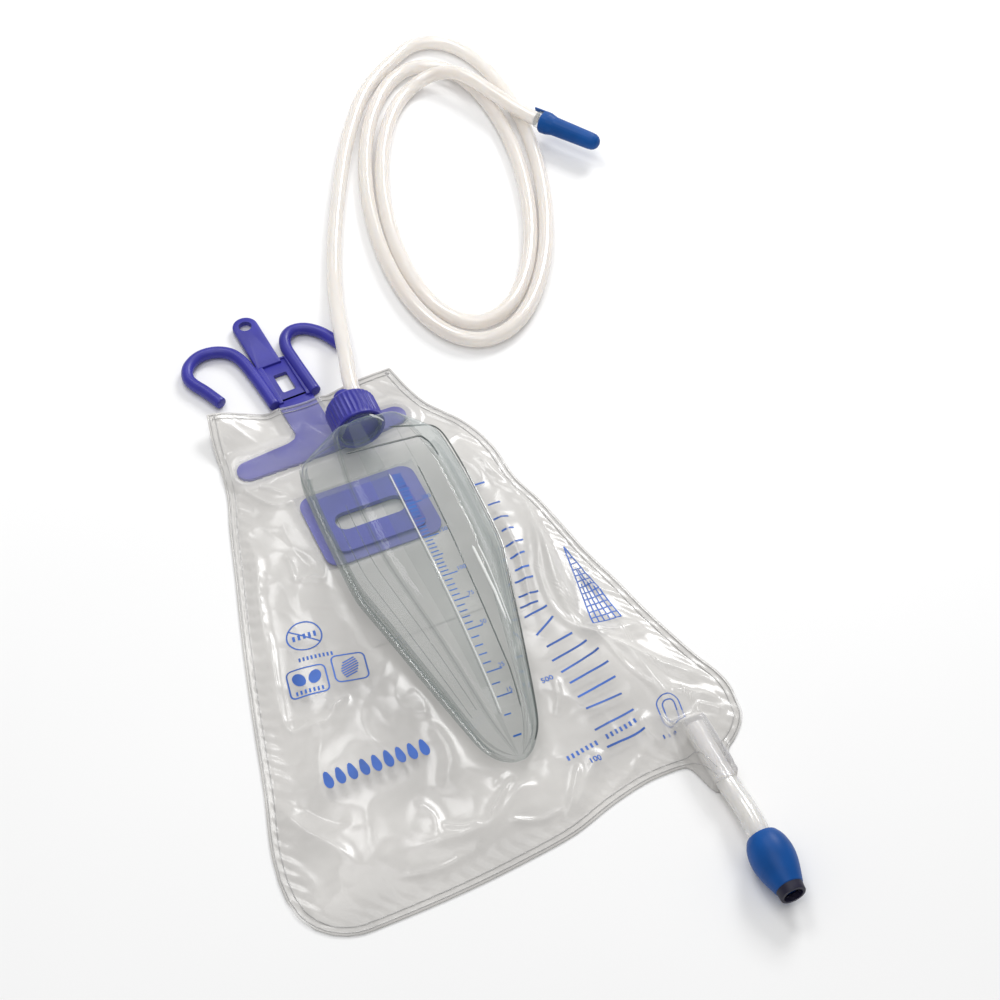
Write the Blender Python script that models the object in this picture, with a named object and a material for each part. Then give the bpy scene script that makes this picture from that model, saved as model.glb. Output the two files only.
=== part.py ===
"""Urine drainage bag with a rigid measuring chamber, lying on its back.

Metres. +Z is up, +Y points to the hanger, +X to the drain side. The origin is on the back film's flat
underside, below the middle of the hanger's bar. Driving dimensions come first, then shared tools, then one
function for each piece.
"""

import math

import bmesh
import bpy
from mathutils import Matrix, Vector, noise

MM = 0.001

# General
GAP = 0.3 * MM                     # running and seating clearance between pieces
TURN = 2 * math.pi

# Bag films
FILM = 0.4 * MM                    # thickness of one ply
HEADER_TOP = 34 * MM               # top edge of the header at its corners, in Y
BAG_LENGTH = 298 * MM              # from that edge to the bottom edge on the left
HEADER_DIP = 6.5 * MM              # how far that edge dips at the hanger's stem
HEADER_HALF = 52 * MM              # half width of the header
NOTCH_Y = 2 * MM                   # where the header ends and the pouch widens
SHOULDER_Y = -48 * MM
SHOULDER_HALF = 73 * MM
HEM_HALF = 113 * MM                # half width of the pouch at the bottom
BAG_BOTTOM = HEADER_TOP - BAG_LENGTH
HEM_Y = BAG_BOTTOM + 39 * MM       # height of the widest place
HEM_RISE = 18 * MM                 # how much higher the bottom edge is on the drain side
CORNER_R = 30 * MM                 # bottom corners
POUCH_PUFF = 7.0 * MM              # how far the slack front film stands up
UNDER_CHAMBER = 3.4 * MM           # height of the front film's underside below the chamber
WAVE = 1.2 * MM                    # how far the slack film waves up and down
WAVE_LENGTH = (26 * MM, 36 * MM)
FOLD_HALF = 6 * MM                 # half width of a main fold
FOLDS = (                          # main folds: points along each, in millimetres, and how high it stands
    (((58, -22), (66, -50), (72, -73), (70, -92), (66, -117), (61, -144), (61, -159)), 3.2),
    (((61, -157), (68, -170), (77, -184), (81, -205), (83, -226)), 3.0),
    (((62, -160), (75, -168), (93, -168)), 2.6),
    (((-58, -28), (-61, -60), (-69, -85), (-75, -113), (-81, -137), (-82, -152), (-78, -163)), 3.0),
    (((-80, -160), (-72, -162), (-63, -161), (-52, -149)), 2.4),
    (((-101, -186), (-95, -207), (-87, -221), (-78, -238)), 3.0),
    (((12, -220), (-4, -231), (-21, -240), (-60, -237)), 2.6),
    (((43, -224), (29, -236), (15, -250)), 2.4),
    (((-22, -176), (-21, -193), (-24, -206), (-33, -218)), 2.6),
)

# Drain neck of the bag
NECK_X = HEM_HALF - 29 * MM
NECK_HALF = 7.5 * MM
NECK_END = BAG_BOTTOM

# Hanger moulding, in its own frame with the T-bar's middle at the origin
HANGER_AT = (-4.0 * MM, -1.5 * MM)
HANGER_LEAN = math.radians(3.0)
BAR_LENGTH = 92 * MM
BAR_END = 12 * MM                  # height of the bar at its round ends
BAR_MIDDLE = 15 * MM               # height of the bar at the stem
PLATE_THICK = 2.2 * MM
STEM_WIDTH = 19 * MM
PLATE_TOP = 63 * MM                # where the plate ends and the tongue starts
WINDOW = (7.2 * MM, 13.2 * MM)
WINDOW_Y = 46.5 * MM
ROD_R = 3.1 * MM
ROD_Z = 3.3 * MM
RAIL_FOOT = 33 * MM
LEDGE_X = (6.4 * MM, 9.6 * MM)     # the ledges beside the rails
LEDGE_TALL = 3.2 * MM
LEFT_HOOK = (                      # rail and hook, foot to tip, in millimetres
    (-11.2, 33.5), (-11.7, 46), (-12.6, 59), (-14.0, 70), (-17.3, 77.4), (-24.0, 82.0), (-32.5, 82.6),
    (-40.0, 78.2), (-43.0, 71.5), (-42.0, 65.5), (-38.8, 58.5), (-34.8, 47.5),
)
RIGHT_HOOK = (
    (11.2, 33.5), (10.7, 46), (10.3, 59), (10.4, 68), (12.8, 74.6), (18.0, 77.8), (25.0, 76.0),
    (31.3, 69), (36.2, 57.5),
)
TONGUE_X = -2.6 * MM
TONGUE_HALF = 6.7 * MM
TONGUE_TOP = 98 * MM
TONGUE_THICK = 3.0 * MM
TONGUE_HOLE_R = 3.4 * MM
HANGER_Z = FILM + GAP              # underside of the bar and the stem

# Port flange in the front film, and the valve film under it
FLANGE_AT = (0.0, -55 * MM)
FLANGE_SIZE = (60 * MM, 46 * MM)
FLANGE_THICK = 1.0 * MM
FRAME_SIZE = (46 * MM, 36 * MM)
SLOT_SIZE = (36 * MM, 11 * MM)
VALVE_FILM_WIDTH = 58 * MM
VALVE_FILM_LENGTH = 84 * MM
VALVE_FILM_TALL = 1.0 * MM
VALVE_FILM_Y = -86 * MM

# Measuring chamber, in a frame whose Y axis is the chamber's own
CHAMBER_AT = (12.7 * MM, 0.0)
CHAMBER_LEAN = math.radians(-2.04)
CHAMBER_Z = 5.2 * MM               # its flat back
CHAMBER_WALL = 1.3 * MM
CHAMBER_PROFILE = (                # Y, half width, the front face's half width and height, the back's height
    (-19, 25.0, 10.5, 25.5, 1.0),
    (-22, 32.5, 14.0, 28.5, 0.2),
    (-27, 36.2, 16.5, 30.5, 0.0),
    (-34, 37.5, 18.0, 31.5, 0.0),
    (-46, 38.1, 20.0, 33.0, 0.0),
    (-62, 38.3, 22.0, 34.8, 0.0),
    (-95, 37.8, 22.5, 34.8, 0.0),
    (-108, 37.0, 22.2, 34.8, 0.0),
    (-118, 34.8, 21.4, 34.8, 0.0),
    (-135, 30.9, 19.0, 34.0, 0.0),
    (-155, 26.4, 15.9, 32.4, 0.0),
    (-175, 21.7, 12.9, 29.4, 0.0),
    (-192, 17.6, 10.4, 26.0, 0.0),
    (-205, 13.8, 8.0, 21.6, 0.0),
    (-212, 9.6, 5.4, 17.0, 0.6),
    (-216, 5.6, 3.1, 12.4, 2.4),
    (-218, 2.6, 1.5, 8.6, 4.0),
)
CHAMBER_NECK_Y = -17 * MM
NECK_R = 10.4 * MM
NECK_AXIS_Z = 18.0 * MM
NECK_MOUTH_Y = -1.0 * MM
PLATEAU_Y = -46 * MM               # where the front face starts
STRIP_TOP = -63 * MM               # raised strip for the scale, beside the middle line
STRIP_LEFT = -1.5 * MM
STRIP_WIDTH = 13 * MM
STRIP_RISE = 0.8 * MM
SPOUT_WALL = 1.0 * MM

# Screw cap
CAP_R = 13.2 * MM
CAP_RIM_Y = -14.5 * MM
CAP_TOP_Y = 3.0 * MM
CAP_WALL = 2.1 * MM
CAP_RIBS = 34
CAP_RIB = 0.35 * MM
DOME_R = 4.6 * MM
DOME_TALL = 4.2 * MM
DOME_PLACE = (-2.2 * MM, 5.2 * MM)     # from the cap's axis, in X and Z
SOCKET_R = 5.0 * MM
SOCKET_TALL = 2.6 * MM
SOCKET_PLACE = (5.6 * MM, -1.4 * MM)
SEAL_THICK = 1.2 * MM
FILTER_R = 3.0 * MM
FILTER_THICK = 1.0 * MM

# Inlet tube and its loose coil
CORD_OD = 8.0 * MM
CORD_R = CORD_OD / 2
CORD_Z = 4.2 * MM                  # middle of the tube where it lies on the table
COIL_AT = (132.5 * MM, 147.5 * MM)
COIL_LEAN = math.radians(16.4)
COIL_OUTER = (49.0 * MM, 124.0 * MM, 0.0)          # half width, half length and shift of the outer turn
COIL_INNER = (39.4 * MM, 100.0 * MM, -11.0 * MM)   # and of the inner turn
COIL_START = -0.04                 # in turns, clockwise from the coil's top
COIL_END = 1.93
INWARD = (0.62, 1.27)              # the turns over which the tube moves from the outer turn to the inner one
OUTER_STEP = 0.985                 # the section of the coil's solid that the tube comes in at
INNER_STEP = 0.902                 # and the one that it leaves at
CROSS_Z = 12.8 * MM                # middle of the tube where it lies on the coil
TAIL_LEAVES = 2.03                 # the turn at which the last stretch bends off towards the connector

# Connector and its cap
CONNECTOR_AT = (193.5 * MM, 167.4 * MM, 12.2 * MM)
CONNECTOR_HEADING = math.atan2(-0.832, 0.555)
COLLAR_R = 4.6 * MM
COLLAR_LENGTH = 4.0 * MM
NOZZLE_LENGTH = 27 * MM
NOZZLE_R = (3.9 * MM, 2.5 * MM)
NOZZLE_BORE = 1.6 * MM
COVER_LENGTH = 37 * MM
COVER_MOUTH_R = 6.4 * MM
COVER_R = (5.3 * MM, 4.7 * MM)
COVER_STEP = 3.6 * MM              # the cover's mouth, past the collar's start
TAB_LENGTH = 8 * MM

# Drain tube and push-pull valve
DRAIN_OD = 10.0 * MM
DRAIN_BORE = 7.4 * MM
DRAIN_START = NECK_END + 32 * MM
VALVE_AT = (NECK_X - 1.6 * MM, NECK_END - 33 * MM, 10.4 * MM)
VALVE_LEAN = math.radians(-2.7)
SLEEVE_LENGTH = 30.5 * MM
SLEEVE_R = 10.0 * MM
SLEEVE_BORE = 5.35 * MM
SLEEVE_MOUTH_R = 7.4 * MM
SLEEVE_END_R = 5.9 * MM
CHAMBER_BORE = 6.5 * MM
OUTLET_BORE = 4.5 * MM
SPIGOT_R = 4.7 * MM
SPIGOT_BORE = 2.2 * MM
SEAL_R = 5.05 * MM
SEAL_WIDTH = 1.3 * MM
GROOVE_R = 3.9 * MM
UPPER_SEAL = 12.5 * MM             # middle of each seal, from the sleeve's mouth
LOWER_SEAL = 23.2 * MM


# Shared tools

def clear_scene():
    for item in list(bpy.data.objects):
        bpy.data.objects.remove(item, do_unlink=True)


def material(name, colour, roughness, transmission=0.0, alpha=1.0):
    made = bpy.data.materials.new(name)
    made.use_nodes = True
    shader = made.node_tree.nodes["Principled BSDF"]
    shader.inputs["Base Color"].default_value = (*colour, 1.0)
    shader.inputs["Roughness"].default_value = roughness
    shader.inputs["Metallic"].default_value = 0.0
    shader.inputs["Transmission Weight"].default_value = transmission
    shader.inputs["Alpha"].default_value = alpha
    made.diffuse_color = (*colour, alpha)
    return made


def add_mesh(name, points, faces, finish=None, parent=None, smooth=True):
    """A mesh object from points and faces, with its faces turned outward."""
    mesh = bpy.data.meshes.new(name)
    mesh.from_pydata([tuple(p) for p in points], [], faces)
    work = bmesh.new()
    work.from_mesh(mesh)
    bmesh.ops.recalc_face_normals(work, faces=work.faces)
    work.to_mesh(mesh)
    work.free()
    made = bpy.data.objects.new(name, mesh)
    bpy.context.scene.collection.objects.link(made)
    if finish is not None:
        mesh.materials.append(finish)
    if parent is not None:
        made.parent = parent
    if smooth:
        mesh.shade_smooth()
        mesh.set_sharp_from_angle(angle=math.radians(35))
    return made


def empty(name, location, turn=0.0):
    made = bpy.data.objects.new(name, None)
    made.location = location
    made.rotation_euler = (0, 0, turn)
    bpy.context.scene.collection.objects.link(made)
    return made


def cut(target, tool, operation="DIFFERENCE"):
    """Applies a Boolean of tool to target, in target's own frame, and removes the tool."""
    bpy.context.view_layer.update()
    step = target.modifiers.new("cut", "BOOLEAN")
    step.operation = operation
    step.solver = "EXACT"
    step.object = tool
    bpy.context.view_layer.update()
    graph = bpy.context.evaluated_depsgraph_get()
    result = bpy.data.meshes.new_from_object(target.evaluated_get(graph))
    target.modifiers.clear()
    work = bmesh.new()
    work.from_mesh(result)
    bmesh.ops.remove_doubles(work, verts=work.verts, dist=2e-6)
    work.to_mesh(result)
    work.free()
    target.data = result
    bpy.data.objects.remove(tool, do_unlink=True)
    result.shade_smooth()
    result.set_sharp_from_angle(angle=math.radians(35))
    return target


def loft(name, rings, finish=None, parent=None, loop=False):
    """A closed body through rings of equal count, capped at its ends, or closed on itself if loop is set."""
    count = len(rings[0])
    points = [p for ring in rings for p in ring]
    faces = []
    last = len(rings) if loop else len(rings) - 1
    for r in range(last):
        a, b = r * count, ((r + 1) % len(rings)) * count
        faces += [(a + i, a + (i + 1) % count, b + (i + 1) % count, b + i) for i in range(count)]
    if not loop:
        faces.append(tuple(range(count)))
        faces.append(tuple(range((len(rings) - 1) * count, len(rings) * count)))
    return add_mesh(name, points, faces, finish, parent)


def turned(name, outline, sides, finish=None, parent=None, centre=(0.0, 0.0)):
    """Turns a closed outline of (radius, y) about a line along Y through centre (x, z).

    An outline that starts and ends on the axis makes a plain body; any other makes a ring.
    """
    solid = outline[0][0] == 0.0
    rows = outline[1:-1] if solid else outline
    points = []
    for radius, y in rows:
        for k in range(sides):
            angle = TURN * k / sides
            points.append((centre[0] + radius * math.cos(angle), y, centre[1] + radius * math.sin(angle)))
    faces = []
    last = len(rows) - 1 if solid else len(rows)
    for r in range(last):
        a, b = r * sides, ((r + 1) % len(rows)) * sides
        faces += [(a + k, a + (k + 1) % sides, b + (k + 1) % sides, b + k) for k in range(sides)]
    if solid:
        for pole, row in ((outline[0], 0), (outline[-1], len(rows) - 1)):
            points.append((centre[0], pole[1], centre[1]))
            tip = len(points) - 1
            faces += [(tip, row * sides + k, row * sides + (k + 1) % sides) for k in range(sides)]
    return add_mesh(name, points, faces, finish, parent)


def slab(name, outline, low, high, finish=None, parent=None):
    """A flat outline in X and Y, between two heights."""
    return loft(name, [[(x, y, z) for x, y in outline] for z in (low, high)], finish, parent)


def arc(centre, radius, start, end, steps):
    """Points on an arc, angles in degrees."""
    return [
        (centre[0] + radius * math.cos(math.radians(start + (end - start) * k / steps)),
         centre[1] + radius * math.sin(math.radians(start + (end - start) * k / steps)))
        for k in range(steps + 1)
    ]


def rounded_box(centre, size, radius, steps=4):
    """Outline of a rectangle with round corners."""
    hx, hy = size[0] / 2 - radius, size[1] / 2 - radius
    corners = ((hx, hy, 0), (-hx, hy, 90), (-hx, -hy, 180), (hx, -hy, 270))
    return [
        point
        for dx, dy, start in corners
        for point in arc((centre[0] + dx, centre[1] + dy), radius, start, start + 90, steps)
    ]


def spline(points, step):
    """Points about step apart on a smooth curve through the given points."""
    chain = [Vector(p) for p in points]
    ends = [chain[0] * 2 - chain[1], *chain, chain[-1] * 2 - chain[-2]]
    dense = []
    for a, b, c, d in zip(ends, ends[1:], ends[2:], ends[3:]):
        for k in range(24):
            t = k / 24
            dense.append(0.5 * (2 * b + (c - a) * t + (2 * a - 5 * b + 4 * c - d) * t * t
                                + (3 * b - a - 3 * c + d) * t ** 3))
    dense.append(chain[-1])
    total = sum((q - p).length for p, q in zip(dense, dense[1:]))
    count = max(2, round(total / step))
    made, walked, target = [dense[0]], 0.0, total / count
    for p, q in zip(dense, dense[1:]):
        piece = (q - p).length
        while walked + piece >= target * len(made) - 1e-9 and len(made) < count:
            made.append(p.lerp(q, (target * len(made) - walked) / piece))
        walked += piece
    made.append(dense[-1])
    return made


def tube_rings(path, radii, sides):
    """Rings of a round tube along path, with no twist. radii has one radius for each point."""
    rings = []
    side = None
    for i, point in enumerate(path):
        before, after = path[max(i - 1, 0)], path[min(i + 1, len(path) - 1)]
        along = (after - before).normalized()
        if side is None:
            side = along.cross(Vector((0, 0, 1))).normalized()
        side = (side - along * side.dot(along)).normalized()
        up = side.cross(along)
        rings.append([
            point + (side * math.cos(TURN * k / sides) + up * math.sin(TURN * k / sides)) * radii[i]
            for k in range(sides)
        ])
    return rings


def smooth_step(low, high, value):
    share = min(1.0, max(0.0, (value - low) / (high - low)))
    return share * share * (3 - 2 * share)


def straight_table(table, value):
    """A value read off pairs of (place, value), highest place first, with straight runs between them."""
    if value >= table[0][0]:
        return table[0][1]
    for (p0, v0), (p1, v1) in zip(table, table[1:]):
        if value >= p1:
            return v0 + (v1 - v0) * (value - p0) / (p1 - p0)
    return table[-1][1]


# Bag films

def bag_half_width(y):
    """Half width of the bag at a height, above its bottom corners."""
    return straight_table((
        (HEADER_TOP, HEADER_HALF),
        (NOTCH_Y, HEADER_HALF + 3 * MM),
        (NOTCH_Y - 12 * MM, HEADER_HALF + 8 * MM),
        (SHOULDER_Y, SHOULDER_HALF),
        (HEM_Y, HEM_HALF),
    ), y)


def bag_top(share):
    """Top edge, for a share of the half width."""
    away = (share * HEADER_HALF - HANGER_AT[0]) / (26 * MM)
    return HEADER_TOP - HEADER_DIP * math.exp(-away * away)


def bag_bottom(share):
    """Bottom edge, for a share of the half width from -1 at the left to 1 at the right."""
    edge = BAG_BOTTOM + HEM_RISE * smooth_step(-0.2, 0.6, share)
    turn_in = CORNER_R / HEM_HALF
    beyond = max(0.0, abs(share) - (1 - turn_in)) / turn_in
    return edge + CORNER_R * (1 - math.sqrt(max(0.0, 1 - beyond * beyond)))


def neck_share(x):
    """1 on the middle of the drain neck, 0 away from it."""
    return 1 / (1 + ((x - NECK_X) / NECK_HALF) ** 8)


def hanger_cover(x, y):
    """1 over the hanger's bar and stem, 0 away from them."""
    dx, dy = x - HANGER_AT[0], y - HANGER_AT[1]
    spread = 9 * MM
    over_bar = (1 - smooth_step(BAR_LENGTH / 2, BAR_LENGTH / 2 + spread, abs(dx))) * (
        1 - smooth_step(BAR_MIDDLE / 2 + 2 * MM, BAR_MIDDLE / 2 + spread + 2 * MM, abs(dy)))
    over_stem = (1 - smooth_step(STEM_WIDTH / 2 + 2 * MM, STEM_WIDTH / 2 + spread + 2 * MM, abs(dx))) * (
        smooth_step(-spread, 0, dy))
    return max(over_bar, over_stem)


def beside_chamber(x, y):
    """0 below the chamber and its cap, 1 clear of them."""
    dx, dy = x - CHAMBER_AT[0], y - CHAMBER_AT[1]
    across = dx * math.cos(CHAMBER_LEAN) + dy * math.sin(CHAMBER_LEAN)
    along = dy * math.cos(CHAMBER_LEAN) - dx * math.sin(CHAMBER_LEAN)
    half = straight_table([(row[0] * MM, row[1] * MM) for row in CHAMBER_PROFILE], along)
    below = (1 - smooth_step(half + 2 * MM, half + 14 * MM, abs(across))) * (
        smooth_step(CHAMBER_PROFILE[-1][0] * MM - 14 * MM, CHAMBER_PROFILE[-1][0] * MM - 2 * MM, along))
    return 1 - below


def fold_height(x, y):
    """How far the main folds lift the film at a place."""
    here, total = Vector((x, y)), 0.0
    for points, rise in FOLDS:
        nearest, share = 1.0, 0.0
        for k, (start, end) in enumerate(zip(points, points[1:])):
            a, b = Vector(start) * MM, Vector(end) * MM
            t = min(1.0, max(0.0, (here - a).dot(b - a) / (b - a).length_squared))
            away = (here - a.lerp(b, t)).length
            if away < nearest:
                nearest, share = away, (k + t) / (len(points) - 1)
        ends = smooth_step(0, 0.25, share) * smooth_step(1, 0.75, share)
        total += rise * MM * ends * math.exp(-(nearest / FOLD_HALF) ** 2)
    return total


def front_height(x, y, inset):
    """Height of the front film's underside. inset is the distance in from the welded edge."""
    weld = FILM + GAP
    pouch = smooth_step(2 * MM, 30 * MM, inset) * smooth_step(NOTCH_Y, NOTCH_Y - 28 * MM, y)
    left, right = x + 62 * MM, x - 70 * MM
    swell = (0.9 * math.exp(-(left / (34 * MM)) ** 2 - ((y + 150 * MM) / (75 * MM)) ** 2)
             + 0.7 * math.exp(-(right / (22 * MM)) ** 2 - ((y + 120 * MM) / (70 * MM)) ** 2)
             + 0.55 * math.exp(-((x - 5 * MM) / (60 * MM)) ** 2 - ((y + 243 * MM) / (22 * MM)) ** 2))
    wave = WAVE * noise.noise(Vector((x / WAVE_LENGTH[0], y / WAVE_LENGTH[1], 3.1)))
    slack = (POUCH_PUFF - UNDER_CHAMBER) * swell + wave + fold_height(x, y)
    height = weld + (UNDER_CHAMBER - weld) * pouch + slack * pouch * beside_chamber(x, y)
    height = max(height, weld + (PLATE_THICK + GAP) * hanger_cover(x, y))
    drain = 1 - smooth_step(DRAIN_START + 3 * MM, DRAIN_START + 24 * MM, y)
    return max(height, weld + (DRAIN_OD + 1.4 * MM) * neck_share(x) * drain)


def film_grid():
    """Columns across the bag and rows down it, finer at the neck and in the header."""
    steps = (-16, -11.5, -9, -7.5, -5.5, -3, 0, 3, 5.5, 7.5, 9, 11.5)
    neck = [(NECK_X + dx * MM) / HEM_HALF for dx in steps]
    wide = [k / 18 for k in range(-18, 19)]
    columns = sorted([share for share in wide if not neck[0] - 0.03 < share < neck[-1] + 0.02] + neck)
    rows = [0.022 * k for k in range(9)] + [0.2 + 0.8 * k / 24 for k in range(25)]
    return columns, rows


def film_point(share, row):
    """A place on the bag and its distance in from the edge. row is 0 at the top, 1 at the bottom."""
    x_low = share * HEM_HALF
    bottom = bag_bottom(share)
    tab = neck_share(x_low)
    bottom = bottom + (NECK_END - bottom) * tab
    top = bag_top(share)
    y = top + (bottom - top) * row
    x = share * bag_half_width(y)
    inset = min((1 - abs(share)) * bag_half_width(y), top - y, y - bottom)
    return x, y, inset


def film_rim(across, down):
    """The grid's outer points in order, as pairs of row and column."""
    return ([(0, c) for c in range(across)]
            + [(r, across - 1) for r in range(1, down)]
            + [(down - 1, c) for c in range(across - 2, -1, -1)]
            + [(r, 0) for r in range(down - 2, 0, -1)])


def back_film(finish):
    """The back ply, flat on the table."""
    columns, rows = film_grid()
    outline = [film_point(columns[c], rows[r])[:2] for r, c in film_rim(len(columns), len(rows))]
    return slab("back_film", outline, 0.0, FILM, finish)


def front_film(finish):
    """The front ply, with the opening that the port flange's frame comes through."""
    columns, rows = film_grid()
    across, down = len(columns), len(rows)
    points, faces = [], []
    for lift in (0.0, FILM):
        for row in rows:
            for share in columns:
                x, y, inset = film_point(share, row)
                points.append((x, y, front_height(x, y, inset) + lift))
    layer = across * down
    for r in range(down - 1):
        for c in range(across - 1):
            a = r * across + c
            faces.append((a, a + 1, a + across + 1, a + across))
            faces.append((layer + a, layer + a + across, layer + a + across + 1, layer + a + 1))
    rim = [r * across + c for r, c in film_rim(across, down)]
    for a, b in zip(rim, rim[1:] + rim[:1]):
        faces.append((a, layer + a, layer + b, b))
    made = add_mesh("front_film", points, faces, finish)
    size = [s + 2 * GAP for s in FRAME_SIZE]
    return cut(made, slab("opening", rounded_box(FLANGE_AT, size, 5 * MM), -5 * MM, 20 * MM))


# Hanger

def hanger(finish):
    """T-bar, stem, plate with its window, two rod hooks and the tie tongue, as one moulding."""
    frame = empty("hanger_frame", (*HANGER_AT, 0), HANGER_LEAN)
    end_r = BAR_END / 2
    half = BAR_LENGTH / 2 - end_r
    rise = BAR_MIDDLE / 2
    left = arc((-half, 0), end_r, 90, 270, 8)
    right = arc((half, 0), end_r, -90, 90, 8)
    stem = STEM_WIDTH / 2
    outline = (left + [(-stem, -rise), (stem, -rise)] + right
               + [(stem + 5 * MM, rise), (stem, rise + 4 * MM), (stem, PLATE_TOP), (-stem, PLATE_TOP),
                  (-stem, rise + 4 * MM), (-stem - 5 * MM, rise)])
    made = slab("hanger", outline, HANGER_Z, HANGER_Z + PLATE_THICK, finish, frame)

    tongue = ([(TONGUE_X + TONGUE_HALF, PLATE_TOP - 4 * MM)]
              + arc((TONGUE_X, TONGUE_TOP - TONGUE_HALF), TONGUE_HALF, 0, 180, 12)
              + [(TONGUE_X - TONGUE_HALF, PLATE_TOP - 4 * MM)])
    top = slab("tongue", tongue, HANGER_Z + 0.5 * MM, HANGER_Z + 0.5 * MM + TONGUE_THICK, None, frame)
    cut(made, top, "UNION")

    for side in (-1, 1):
        near, far = (side * x for x in LEDGE_X)
        ledge_top = PLATE_TOP - 0.6 * MM
        ledge = [(near, RAIL_FOOT), (far, RAIL_FOOT), (far, ledge_top), (near, ledge_top)]
        cut(made, slab("ledge", ledge, HANGER_Z + 1 * MM, HANGER_Z + LEDGE_TALL, None, frame), "UNION")

    window = rounded_box((0, WINDOW_Y), WINDOW, 0.6 * MM, 2)
    cut(made, slab("window", window, -5 * MM, 15 * MM, None, frame))
    hole = arc((TONGUE_X, TONGUE_TOP - TONGUE_HALF), TONGUE_HOLE_R, 0, 345, 23)
    cut(made, slab("hole", hole, -5 * MM, 15 * MM, None, frame))
    for route in (LEFT_HOOK, RIGHT_HOOK):
        cut(made, hook_rod(route, frame), "UNION")
    return made


def hook_rod(route, frame):
    """One rail and its hook: a straight shank, a bow outward, and a tip that leans back in."""
    path = spline([Vector((x, y, 0)) * MM + Vector((0, 0, ROD_Z)) for x, y in route], 4.6 * MM)
    heading_in, heading_out = (path[0] - path[1]).normalized(), (path[-1] - path[-2]).normalized()
    soft = 0.7 * MM
    path = [path[0] + heading_in * soft, *path, path[-1] + heading_out * soft]
    radii = [ROD_R - soft] + [ROD_R] * (len(path) - 2) + [ROD_R - soft]
    return loft("rod", tube_rings(path, radii, 12), None, frame)


# Port flange and valve film

def flange_levels():
    """Heights of the base's underside, the base's top and the frame's top."""
    base = UNDER_CHAMBER - GAP - FLANGE_THICK
    return base, base + FLANGE_THICK, CHAMBER_Z - GAP


def port_flange(finish):
    """The moulded frame welded into the front film, with the slot that the chamber's spout sits in."""
    low, mid, high = flange_levels()
    made = slab("port_flange", rounded_box(FLANGE_AT, FLANGE_SIZE, 7 * MM, 6), low, mid, finish)
    cut(made, slab("frame", rounded_box(FLANGE_AT, FRAME_SIZE, 4.5 * MM), mid - 0.4 * MM, high), "UNION")
    return cut(made, slab("slot", rounded_box(FLANGE_AT, SLOT_SIZE, 5 * MM), -5 * MM, 20 * MM))


def reflux_valve(finish):
    """A flat film tube under the flange, open at its lower end and cut open under the slot."""
    low = FILM + GAP
    wall = 0.3 * MM
    centre = (FLANGE_AT[0], VALVE_FILM_Y)
    size = (VALVE_FILM_WIDTH, VALVE_FILM_LENGTH)
    made = slab("reflux_valve", rounded_box(centre, size, 4 * MM), low, low + VALVE_FILM_TALL, finish)
    inner = (VALVE_FILM_WIDTH - 6 * MM, VALVE_FILM_LENGTH)
    lower = (centre[0], centre[1] - 3 * MM)
    hollow = slab("hollow", rounded_box(lower, inner, 2 * MM), low + wall, low + VALVE_FILM_TALL - wall)
    cut(made, hollow)
    port = rounded_box(FLANGE_AT, SLOT_SIZE, 5 * MM)
    return cut(made, slab("port", port, low + VALVE_FILM_TALL / 2, 9 * MM))


# Measuring chamber

def chamber_section(y, inset):
    """One section across the chamber, as points around it from the middle of the back. inset is the wall."""
    place = y / MM
    half, flat, front, back = (
        straight_table([(row[0], row[k]) for row in CHAMBER_PROFILE], place) * MM for k in (1, 2, 3, 4))
    half, flat, front, back = half - inset, flat - 0.6 * inset, front - inset, back + inset
    belly = back + 0.36 * (front - back)
    rise = STRIP_RISE * (1 - smooth_step(STRIP_TOP, STRIP_TOP + 2.5 * MM, y))
    soft = min(2.5 * MM, 0.16 * half)
    left = max(STRIP_LEFT, -0.25 * flat)
    right = min(STRIP_LEFT + STRIP_WIDTH, 0.66 * flat)
    step = min(0.5 * MM, 0.1 * flat)
    corner = min(6 * MM, 0.3 * half)
    shape = [(0.0, back), (0.45 * half, back)]
    shape += bend((half, back), (0.0, back), (half, belly), corner, 5)
    shape += bend((half, belly), (half, back), (flat, front), corner, 4)
    shape += bend((flat, front), (half, belly), (0.0, front), soft, 4)
    shape += [(right + step, front), (right, front + rise), (0.5 * (left + right), front + rise),
              (left, front + rise), (left - step, front), (0.5 * (left - step - flat), front)]
    shape += bend((-flat, front), (0.0, front), (-half, belly), soft, 4)
    shape += bend((-half, belly), (-flat, front), (-half, back), corner, 4)
    shape += bend((-half, back), (-half, belly), (0.0, back), corner, 5)
    shape.append((-0.45 * half, back))
    return [(x, y, CHAMBER_Z + z) for x, z in shape]


def bend(corner, before, after, radius, count):
    """A round corner as points on a quadratic curve, starting and ending radius away from the corner."""
    c, a, b = Vector(corner), Vector(before), Vector(after)
    start = c + (a - c).normalized() * min(radius, (a - c).length * 0.48)
    end = c + (b - c).normalized() * min(radius, (b - c).length * 0.48)
    made = []
    for k in range(count):
        t = k / (count - 1)
        p = start * (1 - t) ** 2 + c * 2 * t * (1 - t) + end * t ** 2
        made.append((p.x, p.y))
    return made


def neck_section(y, radius, pattern):
    """A round section with its points at the same bearings as the pattern's."""
    made = []
    for x, _, z in pattern:
        bearing = math.atan2(z - NECK_AXIS_Z, x)
        made.append((radius * math.cos(bearing), y, NECK_AXIS_Z + radius * math.sin(bearing)))
    return made


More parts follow.
